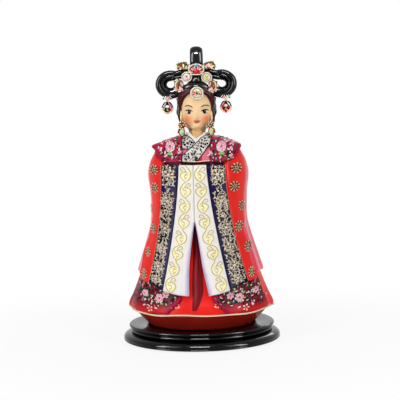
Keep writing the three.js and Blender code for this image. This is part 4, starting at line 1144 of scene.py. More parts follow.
def sleeve_rim():
    """The pale rim over the cuffs, and painted shadow in the hollow behind them: a dark line under the rim
    and a dark strip on the ledge.
    """
    relief = Relief(ROBE.front(1.7))
    pale = [(x, 153.3 - 0.35 * math.cos(x / 4)) for x in (mix(-12.4, 11.8, s) for s in even(15))]
    relief.line(pale, 1.1, 0.9, 0, 0.6)
    # A dark line under the pale rim: painted shadow.
    dark = [(x, 152.3) for x in (mix(-12.0, 11.6, s) for s in even(13))]
    relief.line(dark, 1.0, 0.7, 1, 0.8)
    # A thin dark strip on the ledge between the robe and the sleeves paints the shadow of the hollow.
    verts = []
    for s in even(15):
        x = mix(-11.6, 11.6, s)
        near = ROBE.point(ROBE.angle(x, LEDGE), LEDGE, 1.5)
        far = SLEEVE.point(SLEEVE.angle(x, LEDGE), LEDGE, -1.2)
        for z in (151.55, 151.9):
            verts += [Vector((x, near.y, z)), Vector((x, far.y, z))]
    first = len(relief.verts)
    relief.verts += verts
    order = (0, 1, 3, 2)
    corners = len(order)
    last = len(relief.verts) - corners
    faces = []
    for start in range(first, last, corners):
        for k in range(corners):
            a, b = start + order[k], start + order[(k + 1) % corners]
            faces.append((a, b, b + corners, a + corners))
    faces.append(tuple(first + k for k in reversed(order)))
    faces.append(tuple(last + k for k in order))
    relief.add(faces, 1)
    relief.make("sleeve_opening_rim", [CREAM, HOLLOW_SHADOW], slot="white")


underskirt()
skirt()
hem_piping()
front_pleat()
robe_back()
sleeve_rim()
for side, name, places, roses in (
    (1, "left", LEFT_ROSETTES, LEFT_ROSES),
    (-1, "right", RIGHT_ROSETTES, RIGHT_ROSES),
):
    robe_front(side, name)
    cuff(side, name)
    band(side, name)
    sleeve(side, name)
    cuff_scroll(side, name)
    band_brocade(side, name, 7 if side > 0 else 8)
    sleeve_rosettes(side, name, places)
    robe_flowers(side, name, roses, 21 if side > 0 else 22)


# Shoulders and chest


CAPE_INSIDE = 11.9
CAPE_FRONT_SEAM = 1.565
CAPE_BACK_SEAM = 1.575
CAPE_THICKNESS = 2.1
CAPE_PROUD = GAP + CAPE_THICKNESS


def cape_low(turn):
    """The cape's lower edge: level beside the chest, then up to the point on the shoulder."""
    rise = clamp((abs(turn) - 0.9) / 0.67)
    return mix(CAPE_FOOT, 164.4, rise**0.85)


def cape_point(turn, z, lift):
    """A point of the cape. Its lower corner on the shoulder sticks out sideways."""
    spot = ROBE.point(turn, z, CAPE_PROUD + lift)
    reach = 4.0 if turn < 0 else 1.8
    corner = reach * bump(abs(turn) - 1.57, 0.3) * bump(z - 164.6, 2.0)
    spot.x += math.copysign(corner, math.sin(turn))
    return spot


def cape_front(side, name):
    def turn(u, z):
        return mix(ROBE.angle(CAPE_INSIDE, z), CAPE_FRONT_SEAM, u)
    def outer(u, v, lift):
        z = mix(cape_low(turn(u, CAPE_FOOT)), CAPE_TOP, v)
        return cape_point(side * turn(u, z), z, lift)
    slab("cape_panel_" + name, outer, CAPE_THICKNESS, spread(40, 0.03), spread(30, 0.06), [CAPE_RED],
         edges=(0.03, 0.06), mirrored=side < 0, replaces=["cape_front_" + name], slot="crimson")


def cape_back():
    def turn(u):
        return mix(CAPE_BACK_SEAM, TAU - CAPE_BACK_SEAM, u)
    def low(u):
        away = abs(turn(u) - math.pi)
        return mix(164.2, 147.0 - 2.6 * math.cos(away * 4.6), smooth((1.3 - away) / 0.5))
    def outer(u, v, lift):
        return cape_point(math.remainder(turn(u), TAU), mix(low(u), CAPE_TOP, v), lift)
    slab("cape_back_panel", outer, CAPE_THICKNESS, spread(80, 0.012), spread(40, 0.04), [CAPE_RED],
         edges=(0.012, 0.04), replaces=["cape_back"], slot="crimson")


def cape_place(x, z):
    """A place on the cape seen from the front."""
    a = ROBE.angle(x * 0.965, z)
    point, normal = ROBE.frame(a, z)
    return point + normal * (CAPE_PROUD - 0.05), normal


def spray_of_leaves(relief, x, z, angle, size, color=GREEN, count=3):
    for k in range(count):
        relief.petal(x, z, angle + (k - (count - 1) / 2) * 0.75, size, size * 0.42, 0.55, color, point=0.8)


def swirl_petal(relief, x, z, angle, size, color=LILY, heart=PINK):
    """A curled petal with a dark dot beside it: painted shade in the hollow of the curl."""
    relief.petal(x, z, angle, size, size * 0.55, 0.8, color, heart, notch=0.15)
    foot = relief.turned(x, z, angle, size * 0.35, size * 0.3)
    relief.petal(*foot, angle + 0.9, size * 0.7, size * 0.35, 0.6, color)
    relief.dot(*relief.turned(x, z, angle, size * 0.1, -size * 0.28), size * 0.2, 0.4, INK)


CAPE_ROSES = {-1: (-21.9, 164.2), 1: (21.0, 163.8)}
CAPE_BUDS = {-1: (-24.4, 168.2), 1: (25.2, 168.8)}
# The share of random draws up to which each colour is taken
CAPE_COLORS = [(INK, 0.26), (GREEN, 0.42), (LILY, 0.68), (PINK, 0.82), (LIME, 0.86)]


def cape_flowers():
    """Peonies with their leaves and buds. x runs to the doll's left."""
    relief = Relief(cape_place)
    for side in (-1, 1):
        x, z = CAPE_ROSES[side]
        relief.flower(x, z, 4.3, 1.4, (LILY, PINK, ROSE), 7, 0.3, INK, 0.8)
        relief.flower(*CAPE_BUDS[side], 2.7, 1.0, (LILY, PINK, ROSE), 5, 0.9, INK, 0.8)
        relief.petal(x - 2.6, z - 5.0, 0.0, 5.2, 3.0, 0.9, LIME, LIME)
        relief.petal(x - 1.6, z - 6.0, -0.3, 3.2, 1.8, 0.9, GREEN)
        relief.petal(x - side * 4.0, z + 5.0, 0.5, 4.4, 2.4, 0.7, GREEN, point=0.7)
        relief.petal(x - side * 5.4, z + 4.2, math.pi - 0.4, 2.8, 1.5, 0.7, GREEN, point=0.7)
        spray_of_leaves(relief, x + side * 4.6, z - 4.0, math.pi / 2 * (1 - side) - side * 0.6, 4.6, INK, 3)
        spray_of_leaves(relief, x - side * 5.0, z - 5.2, -math.pi / 2, 3.4, INK, 2)
        swirl_petal(relief, x + side * 8.6, z - 3.4, 1.2 if side < 0 else 1.9, 3.8)
        swirl_petal(relief, x - side * 7.0, z - 5.0, 0.5 if side < 0 else 2.6, 4.0)
        swirl_petal(relief, x + side * 5.4, z - 7.4, 0.4, 4.2)
        relief.petal(x - side * 1.6, z - 9.6, 1.2, 3.4, 1.7, 0.8, PINK, LILY)
        relief.petal(x + side * 6.4, z + 0.8, 1.5 - side * 1.0, 3.6, 1.8, 0.8, LILY, PINK)
        relief.petal(x + side * 9.0, z + 2.4, 1.5 - side * 1.2, 3.4, 1.8, 0.8, LILY, PINK)
        relief.petal(x + side * 12.6, z + 0.4, 1.5 - side * 0.8, 3.0, 1.9, 0.8, PINK, LILY)
        relief.petal(x + side * 11.4, z - 1.8, math.pi / 2, 2.8, 1.2, 0.7, GREEN, point=0.7)
        relief.petal(x + side * 7.6, z + 3.6, 1.5 - side * 1.4, 3.6, 1.2, 0.6, INK, point=0.7)
        relief.petal(x - side * 1.0, z + 5.6, 1.5 - side * 0.9, 4.6, 1.2, 0.6, PALE, point=0.4)
        relief.dot(x - side * 7.8, z + 0.6, 0.8, 0.6, LIME)
        stem = [(-3.2, 7.6), (2.0, 6.2), (6.5, 4.6), (11.0, 2.2)]
        relief.line([(x + side * a, z + b) for a, b in stem], 0.7, 0.5, GREEN)
    chance = random.Random(5)
    for side in (-1, 1):
        rose = CAPE_ROSES[side]
        z = 154.0
        while z < 169.5:
            x = 13.4 + chance.uniform(0, 1.2)
            while x < mix(34.0, 19.0, clamp((z - 163) / 7)) and x < mix(28.0, 36.0, clamp((z - 153) / 9)):
                h, kind, angle = z + chance.uniform(-0.7, 0.7), chance.random(), chance.uniform(0, TAU)
                near = math.hypot(side * x - rose[0], h - rose[1])
                if near > 5.0 and kind < CAPE_COLORS[-1][1]:
                    color = next(color for color, most in CAPE_COLORS if kind < most)
                    if color in (LILY, PINK):
                        relief.edged(side * x, h, angle, 2.2, 1.0, 0.8, color)
                    else:
                        relief.petal(side * x, h, angle, 2.8, 1.4, 0.6, color, sides=8, point=0.5)
                x += 2.7
            z += 2.4
    relief.make("cape_flowers", FLOWERS, slot="crimson")


def chest_panel(name, outline, proud, materials, replaced, slot, paint_of=None):
    """A flat panel laid over the chest from its corners in the front view."""
    low, high = min(z for x, z in outline), max(z for x, z in outline)
    def reach(z):
        """The panel's left and right edge at a height."""
        cuts = []
        for (x0, z0), (x1, z1) in zip(outline, outline[1:] + outline[:1]):
            if min(z0, z1) <= z <= max(z0, z1) and z0 != z1:
                cuts.append(mix(x0, x1, (z - z0) / (z1 - z0)))
        return min(cuts), max(cuts)
    def place(u, v):
        z = mix(low + 0.01, high - 0.01, v)
        return mix(*reach(z), u), z
    def outer(u, v, lift):
        x, z = place(u, v)
        return ROBE.point(ROBE.angle(x, z), z, proud + lift)
    def inner(u, v):
        x, z = place(u, v)
        return ROBE.point(ROBE.angle(x, z), z, 0.1)
    def slot_of(u, v):
        return paint_of(*place(u, v)) if paint_of else 0
    slab(name, outer, inner, spread(24, 0.04), spread(30, 0.03), materials, slot_of,
         edges=(0.04, 0.03), radius=0.4, replaces=replaced, slot=slot)


VEE_FOOT = 167.7
VEE_SLOPE = 1.09
VEE_INSIDE = 171.4
VEE_TOP = 176.9
VEE_WIDE = 8.2


def lapels():
    over = [
        (7.2, 173.6), (11.6, 173.6), (11.2, 166.4), (5.6, 159.0),
        (-0.8, 152.2), (-11.6, 152.2), (-11.6, 157.4), (-0.3, 167.2),
    ]
    under = [(-5.6, 173.6), (-0.3, 167.4), (-5.6, 163.2), (-11.6, 163.6), (-11.6, 173.6)]
    chest_panel("lapel_over_brocade", over, 1.6, [BROCADE], ["lapel_over"], "brocade")
    chest_panel("lapel_under_brocade", under, 1.0, [BROCADE], ["lapel_under"], "brocade")
    jacket = [(11.5, 165.8), (11.5, 152.2), (-0.6, 152.2)]
    def jacket_paint(x, z):
        return 1 if x > 5.2 else 0
    chest_panel("jacket_front_left", jacket, 0.5, [BRIGHT_RED, PINK_CLOTH], [], "pink_red", jacket_paint)
    corner = [(-11.5, 163.0), (-6.0, 162.8), (-11.5, 157.8)]
    chest_panel("jacket_front_right", corner, 0.4, [PINK_CLOTH], [], "pink_red")


def lapel_lattice():
    """Black dots and curls, some grey, and small black, green and rose leaves, scattered in relief over the
    white lapels inside black borders.
    """
    chance = random.Random(11)
    over, under = Relief(ROBE.front(1.55)), Relief(ROBE.front(0.95))
    borders = [
        [(7.2, 174.2), (3.6, 171.2), (0.4, 168.0), (-1.2, 166.3), (-5.8, 162.2), (-11.2, 157.8)],
        [(11.2, 172.6), (11.0, 166.6), (8.2, 162.6), (5.2, 158.8), (2.0, 154.6), (-0.8, 150.9)],
        [(-11.2, 150.9), (-11.25, 154.0), (-11.2, 157.6)],
    ]
    for edge in borders:
        over.line(edge, 0.8, 0.45, 0, 1.0)
    under.line([(-7.4, 174.2), (-3.8, 171.0), (-0.9, 167.8)], 0.8, 0.6, 0, 1.0)
    under.line([(-1.0, 166.8), (-5.8, 163.5), (-11.3, 163.8)], 0.6, 0.45, 0, 1.0)
    def target_at(x, z):
        over_top = 167.4 + (0.96 * x if x > 0 else 0.83 * x)
        over_low = 151.6 if x < -0.8 else 151.8 + 1.28 * (x + 0.8)
        if abs(x) > 11 or z > 172.8:
            return None
        if over_low + 0.8 < z < over_top - 0.7:
            return over
        under_low = max(164.3, over_top + 0.8)
        if x < -0.9 and under_low < z < 166.4 - 0.96 * x:
            return under
        return None
    step = 1.55
    for row in range(16):
        for column in range(-8, 9):
            x = (column + 0.5 * (row % 2)) * step + chance.uniform(-0.35, 0.35)
            z = 151.2 + row * step + chance.uniform(-0.35, 0.35)
            here, kind, angle = target_at(x, z), chance.random(), chance.uniform(0, TAU)
            if not here or kind > 0.93:
                continue
            if kind < 0.34:
                here.dot(x, z, chance.uniform(0.6, 1.05), 0.5, 0)
            elif kind < 0.74:
                size, color = chance.uniform(0.8, 1.3), chance.choice((0, 0, 0, 1))
                here.spiral(x, z, size, angle, 0.6, 0.68, 0.4, color, steps=7)
            else:
                here.petal(x, z, angle, 2.2, 1.1, 0.45, chance.choice((0, 0, 2, 3)), sides=8, point=0.5)
    for relief, name in ((over, "lapel_over_lattice"), (under, "lapel_under_lattice")):
        relief.make(name, [BLACK, SHADE_GRAY, LEAF_DARK, PETAL_ROSE], slot="brocade")


def neck_band():
    """The white band that crosses in a vee, and its collar behind the neck."""
    verts, faces = [], []
    columns, rows = 7, 16
    count = columns * rows
    places = [(u, v) for v in even(rows) for u in even(columns)]
    def place(side, u, v, rise):
        z = mix(mix(VEE_FOOT, VEE_TOP, v), mix(VEE_INSIDE, VEE_TOP, v), u)
        x = clamp(VEE_SLOPE * (z - VEE_FOOT - (VEE_INSIDE - VEE_FOOT) * u), 0.0, VEE_WIDE)
        return ROBE.point(ROBE.angle(side * x + 0.3 * (1 - v), z), z, rise)
    for side in (-1, 1):
        first = len(verts)
        proud = 0.25 if side > 0 else 0.0
        verts += [place(side, u, v, 1.1 + 0.35 * math.sin(math.pi * u) + proud) for u, v in places]
        verts += [place(side, u, v, -0.4) for u, v in places]
        front = grid_faces(columns, rows, first, flip=side < 0)
        faces += [tuple(reversed(face)) for face in front]
        faces += [tuple(k + count for k in face) for face in front]
        ring = [first + k for k in border(columns, rows)]
        for pair in zip(ring, ring[1:] + ring[:1]):
            a, b = pair[::side]
            faces.append((a, b, b + count, a + count))
    piece("neck_band_vee", verts, faces, [WHITE], replaces=["neck_band"], slot="white")
    form = Form([(170.0, 9.6, 9.4, 9.8), (173.4, 8.3, 8.3, 8.6), (VEE_TOP, 7.9, 7.9, 8.1)])
    foot, opening = 171.0, 0.9
    def outer(u, v, lift):
        return form.point(mix(opening, TAU - opening, u), mix(foot, VEE_TOP, v), lift)
    slab("neck_band_collar", outer, 1.4, spread(50, 0.02), spread(10, 0.12), [WHITE],
         edges=(None, 0.12), radius=0.6, slot="white")


CAPE_RED = paint("cape_red", "#A01840", 0.32, 0.024, 0.1, other="#B82448")
PINK_CLOTH = paint("jacket_pink", "#E0587C", 0.35, 0.032, 0.1, other="#F08CA4")
BROCADE = paint("lapel_ground", "#D8D2CC", *MATT, 0.04, other="#EAE6E0")
SHADE_GRAY = paint("lattice_gray", "#6C6864", *MATT)


# Head


FACE_X = 0.9


def face_relief(angle, z):
    """Nose, eye hollows, lips, cheeks and chin over the plain oval of the head."""
    if math.cos(angle) < 0:
        return 0.0
    x = 13.2 * math.sin(angle) - FACE_X
    away = abs(x)
    if z > 188.2:
        tall = smooth((197.5 - z) / 8.0) ** 1.2 * 2.5 * smooth((z - 188.2) / 1.3)
    else:
        tall = 0.0
    wide = mix(0.9, 1.45, clamp((195 - z) / 6))
    nose = tall * bump(x, wide)
    hollow = -0.8 * bump(away - 5.6, 3.0) * bump(z - 195.2, 2.6)
    brow = 0.35 * bump(away - 6, 4) * bump(z - 199.2, 1.8)
    cheek = 0.5 * bump(away - 6.8, 3.2) * bump(z - 189.8, 3.0)
    lips = 0.65 * bump(x, 2.6) * bump(z - 186.6, 1.3) - 0.3 * bump(x, 2.4) * bump(z - 186.6, 0.22)
    chin = 1.0 * bump(x, 3.6) * bump(z - 182.0, 1.7)
    dip = -0.35 * bump(x, 2.6) * bump(z - 184.7, 0.8)
    jaw = -4.4 * math.sin(angle) ** 2 * smooth((186.4 - z) / 5.0) * smooth((z - 177.8) / 1.6)
    return nose + hollow + brow + cheek + lips + chin + dip + jaw


HEAD = Form(HEAD_ROWS, face_relief)


def skin_material():
    """Ivory paint with blushed cheeks, and painted shade under the chin: a darker tan over the neck."""
    material = paint("skin_ivory", "#F2CC9A", 0.36, 0.036, 0.03, other="#F8D6A8")
    tree, place = material.node_tree, object_place(material)
    for side in (-1, 1):
        cheek = ((FACE_X + side * 8.4) * MM, -11.0 * MM, 187.4 * MM)
        away = add_node(tree, "VectorMath", {0: place, 1: cheek}, operation="DISTANCE")
        tint(material, "#EC7C56", 0.85, away.outputs["Value"], 0.6, 8.4)
    # Painted shade under the chin: the neck turns darker tan below it.
    tint(material, "#DDB67A", 0.75, height_in(material), 179.2, 181.6)
    return material


EAR_RINGS = 7
EAR_SIDES = 14


def head():
    """The head with its neck, and an ear at each side."""
    verts = []
    columns, rows = 200, 150
    for s in even(rows):
        z = mix(HEAD_FOOT, HEAD_TOP, s)
        verts += [HEAD.point(TAU * i / columns, z) for i in range(columns)]
    faces = grid_faces(columns, rows, 0, wrap=True) + caps(0, (rows - 1) * columns, columns)
    for side in (-1, 1):
        first = len(verts)
        for share in even(EAR_RINGS):
            size = math.sin(math.pi * mix(0.12, 0.95, share))
            for k in range(EAR_SIDES):
                a = TAU * k / EAR_SIDES
                depth = -6.4 + 1.6 * size * math.cos(a) + 1.6 * share
                height = 190.6 + 4.9 * size * math.sin(a)
                verts.append(Vector((side * (11.6 + 2.9 * share), depth, height)))
        faces += grid_faces(EAR_SIDES, EAR_RINGS, first, wrap=True, flip=side < 0)
        end = len(verts) - EAR_SIDES
        faces.append(tuple(range(end, end + EAR_SIDES))[::side])
    piece("head_face", verts, faces, [skin_material()], replaces=["head"], slot="skin")


def face_paint():
    """Eyes, brows and lips as thin raised paint, with a painted highlight on each eye."""
    relief = Relief(HEAD.front(0.0))
    white, iris, dark, lip, shine, rose, hair = range(7)
    for side in (-1, 1):
        x, z = FACE_X + side * 6.6, 194.3
        almond = []
        for k in range(24):
            a = TAU * k / 24
            tall = 1.3 if math.sin(a) > 0 else 1.2
            almond.append((x + 3.0 * math.cos(a), z + tall * math.sin(a) + side * 0.2 * math.cos(a)))
        relief.mound(almond, (x, z), 0.2, white)
        relief.dot(x - side * 0.1, z + 0.2, 1.8, 0.26, iris, 18)
        relief.dot(x - side * 0.1, z + 0.3, 1.35, 0.32, dark, 16)
        # A white dot on each eye is a painted highlight.
        relief.dot(x + 0.6, z + 0.95, 0.22, 0.4, shine, 8)
        lid = []
        for t in even(15):
            rise = 1.75 * math.sin(math.pi * mix(0.03, 0.93, t)) ** 0.75
            lid.append((x + side * mix(-3.4, 4.0, t), z - 0.25 + rise + 0.4 * t))
        relief.line(lid, 1.15, 0.4, dark, 0.2)
        low, fold = [], []
        for k in range(11):
            dip = 1.3 * math.sin(math.pi * k / 10) ** 0.8
            low.append((x + side * mix(-2.8, 3.4, k / 10), z - dip - 0.1 + 0.03 * k))
            rise = 2.45 * math.sin(math.pi * mix(0.14, 0.9, k / 10)) ** 0.7
            fold.append((x + side * mix(-2.6, 3.4, k / 10), z + rise + 0.1))
        relief.line(low, 0.42, 0.2, iris, 0.2)
        relief.line(fold, 0.3, 0.16, rose, 0.2)
        brow = []
        for t in even(15):
            rise = 3.5 * math.sin(math.pi * mix(0.04, 0.8, t)) ** 0.8
            brow.append((FACE_X + side * mix(2.6, 11.0, t), 196.8 + rise - 0.7 * t))
        relief.line(brow, 1.15, 0.24, hair, 0.3)
    upper = [
        (-3.6, 187.85), (-1.9, 187.45), (-0.8, 187.95), (0, 187.6), (0.8, 187.95),
        (1.9, 187.45), (3.6, 187.85), (1.8, 186.75), (0, 186.55), (-1.8, 186.75),
    ]
    lower = [
        (-2.7, 187.0), (-1.4, 186.6), (0, 186.4), (1.4, 186.6), (2.7, 187.0),
        (1.5, 185.8), (0, 185.3), (-1.5, 185.8),
    ]
    relief.mound([(FACE_X + x, z - 0.4) for x, z in reversed(upper)], (FACE_X, 186.85), 0.3, lip)
    relief.mound([(FACE_X + x, z - 0.4) for x, z in reversed(lower)], (FACE_X, 185.75), 0.36, lip)
    for side in (-1, 1):
        relief.dot(FACE_X + side * 0.8, 188.5, 0.34, 0.16, rose, 6)
    relief.make("face_paint", [EYE_WHITE, IRIS, LASH, LIP, GEM_WHITE, LID, BROW], slot="skin")


IRIS = paint("eye_brown", "#2A140C", 0.3, 0.016, 0.2)
BROW = paint("brow_brown", "#64401C", 0.4, 0.016)
EYE_WHITE = paint("eye_white", "#DED2C2", 0.3, 0.032, 0.04)
LASH = paint("lash_black", "#080404", 0.35, 0.016)
LIP = paint("lip_red", "#C8422E", 0.28, 0.036, 0.1)
LID = paint("lid_shade", "#A8644A", *MATT)


# Hair


HAIR = Form(HAIR_ROWS)
HAIR_FOOT = 181.0
HAIR_TOP = 219.3
HAIR_SEAM = 1.66
LOCK_STEPS = 24


def hair_opening(share):
    """The hairline round the face, from the doll's right cheek over the brow to its left."""
    a = math.pi * share
    squareness = 0.74
    x = 14.0 * math.copysign(abs(math.cos(a)) ** squareness, -math.cos(a))
    z = 191.5 + 19.4 * math.sin(a) ** squareness
    return x + FACE_X * math.sin(a), z


def hair_front():
    """Brown hair parted in the middle and combed round the brow to both sides."""
    us, vs = even(121), [0, 0.01, 0.03, 0.06, *(mix(0.09, 1, s) for s in even(36))]
    def spot(u, v):
        x, z = hair_opening(u)
        away = abs(2 * u - 1)
        out_angle = (1.72 if u > 0.5 else -1.72) * away**0.42
        out_z = mix(219.0, 190.0, away**1.7)
        start = HAIR.angle(x, z)
        return mix(start, out_angle, v), mix(z, out_z, v)
    def outer(u, v, lift):
        angle, z = spot(u, v)
        part = -0.9 * bump(2 * u - 1, 0.05) * (1 - v)
        comb = 0.3 * abs(math.sin(math.pi * (4.5 * v + 1.3 * abs(2 * u - 1)))) + 0.1 * math.sin(40 * v)
        edge = -1.1 * (1 - clamp(v / 0.08)) ** 2
        return HAIR.point(angle, z, 0.3 + comb + part + edge)
    def inner(u, v):
        angle, z = spot(u, v)
        return HAIR.point(angle, z, -2.2)
    slab("hair_front_combed", outer, inner, us, vs, [HAIR_BROWN], edges=(None, None),
         replaces=["hair_front"], slot="brown_hair")
    side_locks()


def side_locks():
    """Three thin wavy locks before each ear."""
    def section(i):
        return circle(1.15 * math.sin(math.pi * mix(0.16, 0.9, i / LOCK_STEPS)) + 0.15, 9)
    verts, faces = [], []
    for side in (-1, 1):
        for k, (start, swing) in enumerate(((14.9, 0.45), (15.5, 0.75), (15.2, 0.5))):
            path = []
            for t in even(LOCK_STEPS + 1):
                z = mix(206.0, 183.6 + 0.9 * k, t)
                x = start + swing * math.sin(t * 11 + k * 1.7) - 1.2 * t * t
                y = -4.6 + 2.3 * k - 1.0 * math.sin(math.pi * t)
                path.append(Vector((side * x, y, z)))
            tube(verts, faces, path, section)
    piece("side_locks", verts, faces, [HAIR_BLACK], slot="black_hair")


def hair_back():
    """The black cap of hair, with combed strands that gather above the nape."""
    def outer(u, v, lift):
        angle = mix(HAIR_SEAM, TAU - HAIR_SEAM, u)
        z = mix(HAIR_FOOT, HAIR_TOP, v)
        comb = 0.3 * abs(math.sin(13 * (angle - math.pi) + 1.5 * math.sin(v * 3)))
        return HAIR.point(angle, z, comb * math.sin(math.pi * clamp(v, 0.04, 0.96)) + lift)
    def inner(u, v):
        angle = mix(HAIR_SEAM, TAU - HAIR_SEAM, u)
        return HAIR.point(angle, mix(HAIR_FOOT, HAIR_TOP, v), -3.0 * mix(1, 0.3, v))
    slab("hair_back_cap", outer, inner, spread(110, 0.02), spread(50, 0.03), [HAIR_BLACK],
         edges=(0.02, 0.03), replaces=["hair_back"], slot="black_hair")


def hair_band():
    """The black roll of hair that arches over the brow from side to side."""
    verts, faces = [], []
    path = []
    for i in range(41):
        t = mix(-1, 1, i / 40)
        a = t * 1.62
        z = 216.3 - 5.2 * abs(t) ** 2.2
        path.append(HAIR.point(a, z, 0.6))
    def section(i):
        t = abs(mix(-1, 1, i / 40))
        tall = mix(3.1, 1.8, t)
        ring = []
        for k in range(20):
            a = TAU * k / 20
            lobe = 1 - 0.10 * abs(math.sin(1.5 * a)) ** 6
            ring.append((1.5 * math.cos(a) * lobe, tall * math.sin(a) * lobe))
        return ring
    tube(verts, faces, path, section)
    piece("hair_band_roll", verts, faces, [HAIR_BLACK], replaces=["hair_band"], slot="black_hair")


def blob(centre, sizes, bumps=None, columns=28, rows=18):
    """A closed rounded body round a centre."""
    verts = []
    for j in range(1, rows):
        b = math.pi * j / rows - math.pi / 2
        for i in range(columns):
            a = TAU * i / columns
            swell = 1 + (bumps(a, b) if bumps else 0)
            verts.append(Vector((
                centre[0] + sizes[0] * swell * math.cos(b) * math.sin(a),
                centre[1] - sizes[1] * swell * math.cos(b) * math.cos(a),
                centre[2] + sizes[2] * swell * math.sin(b),
            )))
    return verts, grid_faces(columns, rows - 1, 0, wrap=True) + caps(0, (rows - 2) * columns, columns)


def knot_and_root():
    twist = lambda a, b: 0.05 * math.sin(5 * a + 4 * b)
    verts, faces = blob((0.9, -5.2, 220.9), (4.5, 4.9, 4.3), twist)
    piece("hair_knot_coil", verts, faces, [HAIR_BLACK], replaces=["hair_knot"], slot="black_hair")
    verts, faces = blob((0, 3.8, 222.2), (8.6, 6.6, 6.4), lambda a, b: 0.04 * math.sin(9 * a))
    piece("loop_root_coil", verts, faces, [HAIR_BLACK], replaces=["loop_root"], slot="black_hair")


def strands(name, path_of, widths, depth, **facts):
    """Glossy strands side by side along one path. widths gives each one's offset and half width."""
    verts, faces = [], []
    for offset, wide in widths:
        path = path_of(offset)
        count = len(path)
        def section(i, count=count, wide=wide):
            end = math.sqrt(clamp(min(i, count - 1 - i) / 3, 0.1, 1))
            ring = []
            for k in range(28):
                a = TAU * k / 28
                comb = 1 + 0.015 * math.sin(7 * a)
                ring.append((wide * end * comb * math.cos(a), depth * end * comb * math.sin(a)))
            return ring
        tube(verts, faces, path, section)
    return piece(name, verts, faces, [HAIR_BLACK], slot="black_hair", **facts)


def side_loop(side, name):
    centre_x, centre_z, radius = 21.5, 217.7, 8.7
    def path_of(offset):
        r = radius + offset
        points = [(3.2, centre_z + 9.8 + offset * 0.9), (10.0, centre_z + 9.3 + offset)]
        for i in range(31):
            a = math.radians(mix(112, -140, i / 30))
            points.append((centre_x + r * math.cos(a) * 1.03, centre_z - 0.2 + 0.94 * r * math.sin(a)))
        points.append((8.6, centre_z - 5.4 - offset * 0.5))
        fine = [catmull(points, i / 110) for i in range(111)]
        return [Vector((side * x, 4.2 * (1 - x / 30.2) - 0.15 * offset, z)) for x, z in fine]
    strands("side_loop_strands_" + name, path_of, ((-2.75, 2.15), (1.5, 2.55)), 3.6,
            replaces=["side_loop_" + name])


def top_loop():
    def path_of(offset):
        path = []
        for i in range(61):
            a = math.radians(mix(-40, 250, i / 60))
            path.append(Vector((offset + 0.3, 5.8 - 5.4 * math.cos(a), 237.7 + 9.0 * math.sin(a))))
        return path
    strands("top_loop_strands", path_of, ((0.0, 5.2),), 2.9, replaces=["top_loop"])


# Ornaments of the hair


def facing(y, tilt=0.0):
    """A flat place that faces the front, for one ornament."""
    def place(x, z):
        return Vector((x, y + tilt * x, z)), Vector((0, -1, 0))
    return place


def backing(relief, outline, depth, front=0.0, slot=0):
    """A closed plate behind an ornament. The ornaments paint it dark brown, which is painted shade in the
    gaps between their beads and stones.
    """
    first, count = len(relief.verts), len(outline)
    for lift in (front, front, -depth):
        for x, z in outline:
            spot, normal = relief.at(x, z)
            relief.verts.append(spot + normal * lift)
    edge, back = first + count, first + 2 * count
    for k in range(count):
        n = (k + 1) % count
        relief.add([(edge + k, back + k, back + n, edge + n)], slot)
    relief.add([tuple(range(first, edge)), tuple(reversed(range(back, back + count)))], slot)


def placed(x, z, points):
    """Points that are counted from a middle."""
    return [(x + a, z + b) for a, b in points]


def beads(relief, x, z, wide, tall, count, size, slot, first=0.0, last=TAU):
    whole = last - first > TAU - 0.01
    for k in range(count):
        a = mix(first, last, k / (count if whole else count - 1))
        relief.dot(x + wide * math.cos(a), z + tall * math.sin(a), size, size * 1.1, slot, 8)


ORANGE = paint("petal_orange", "#D88848", *ENAMEL, 0.15, other="#E8A868")
LEAF_PALE = paint("stone_pale_green", "#C8C888", 0.2, 0.048, 0.1, other="#DCE0A8")
SHELL_PINK = paint("petal_shell", "#F6D0C0", 0.3, 0.032, 0.1, other="#FCE8DC")
JEWELS = [
    OLD_GOLD, DARK_GOLD_AND_GAP_SHADE, GEM_RED, GEM_GREEN, GEM_WHITE, GEM_PINK, GEM_BLUE,
    BLACK, LEAF_GOLD, ORANGE, SHELL_PINK, LEAF_PALE, DARK_CRIMSON,
]
GILT, SHADE, RUBY, JADE, PEARL, BLUSH, SKY, ONYX, OLIVE, AMBER, SHELL, LEAFY, WINE = range(13)


def arc_of(x, z, wide, tall, first, last, count):
    """Points on part of an oval. A width below nothing runs it the other way round."""
    angles = [mix(first, last, s) for s in even(count)]
    return [(x + wide * math.cos(a), z + tall * math.sin(a)) for a in angles]


def rim(relief, x, z, wide, tall, width, slot, height=1.3, first=0.0, last=TAU):
    """A smooth raised border."""
    relief.line(arc_of(x, z, wide, tall, first, last, 36), width, height, slot, 1.0)


def brow_brooch():
    relief = Relief(facing(-15.2, 0.03))
    x, z = 1.5, 210.1
    backing(relief, ring_of(x, z, 5.0, 5.0), 3.2, 0.3, SHADE)
    relief.mound(ring_of(x, z, 4.9, 4.9, 32), (x, z), 1.0, GILT)
    rim(relief, x, z, 4.9, 4.9, 1.5, GILT)
    rim(relief, x, z, 4.1, 4.1, 0.3, SHADE, 1.3)
    around = [
        (2.8, RUBY), (-0.35, RUBY), (3.5, RUBY), (0.9, GILT), (2.1, SHELL), (-1.2, GILT), (4.3, SHELL),
    ]
    for a, color in around:
        relief.petal(x + 1.2 * math.cos(a), z + 1.2 * math.sin(a), a, 2.5, 1.7, 1.7, color, sides=10)
    for a in (0.0, 1.57, -1.57):
        relief.dot(x + 1.7 * math.cos(a + 0.25), z + 1.7 * math.sin(a + 0.25), 0.75, 1.9, JADE, 10)
    relief.dot(x, z, 1.1, 2.2, ONYX, 12)
    relief.make("brow_brooch_flower", JEWELS, replaces=["brow_brooch"], slot="old_gold")


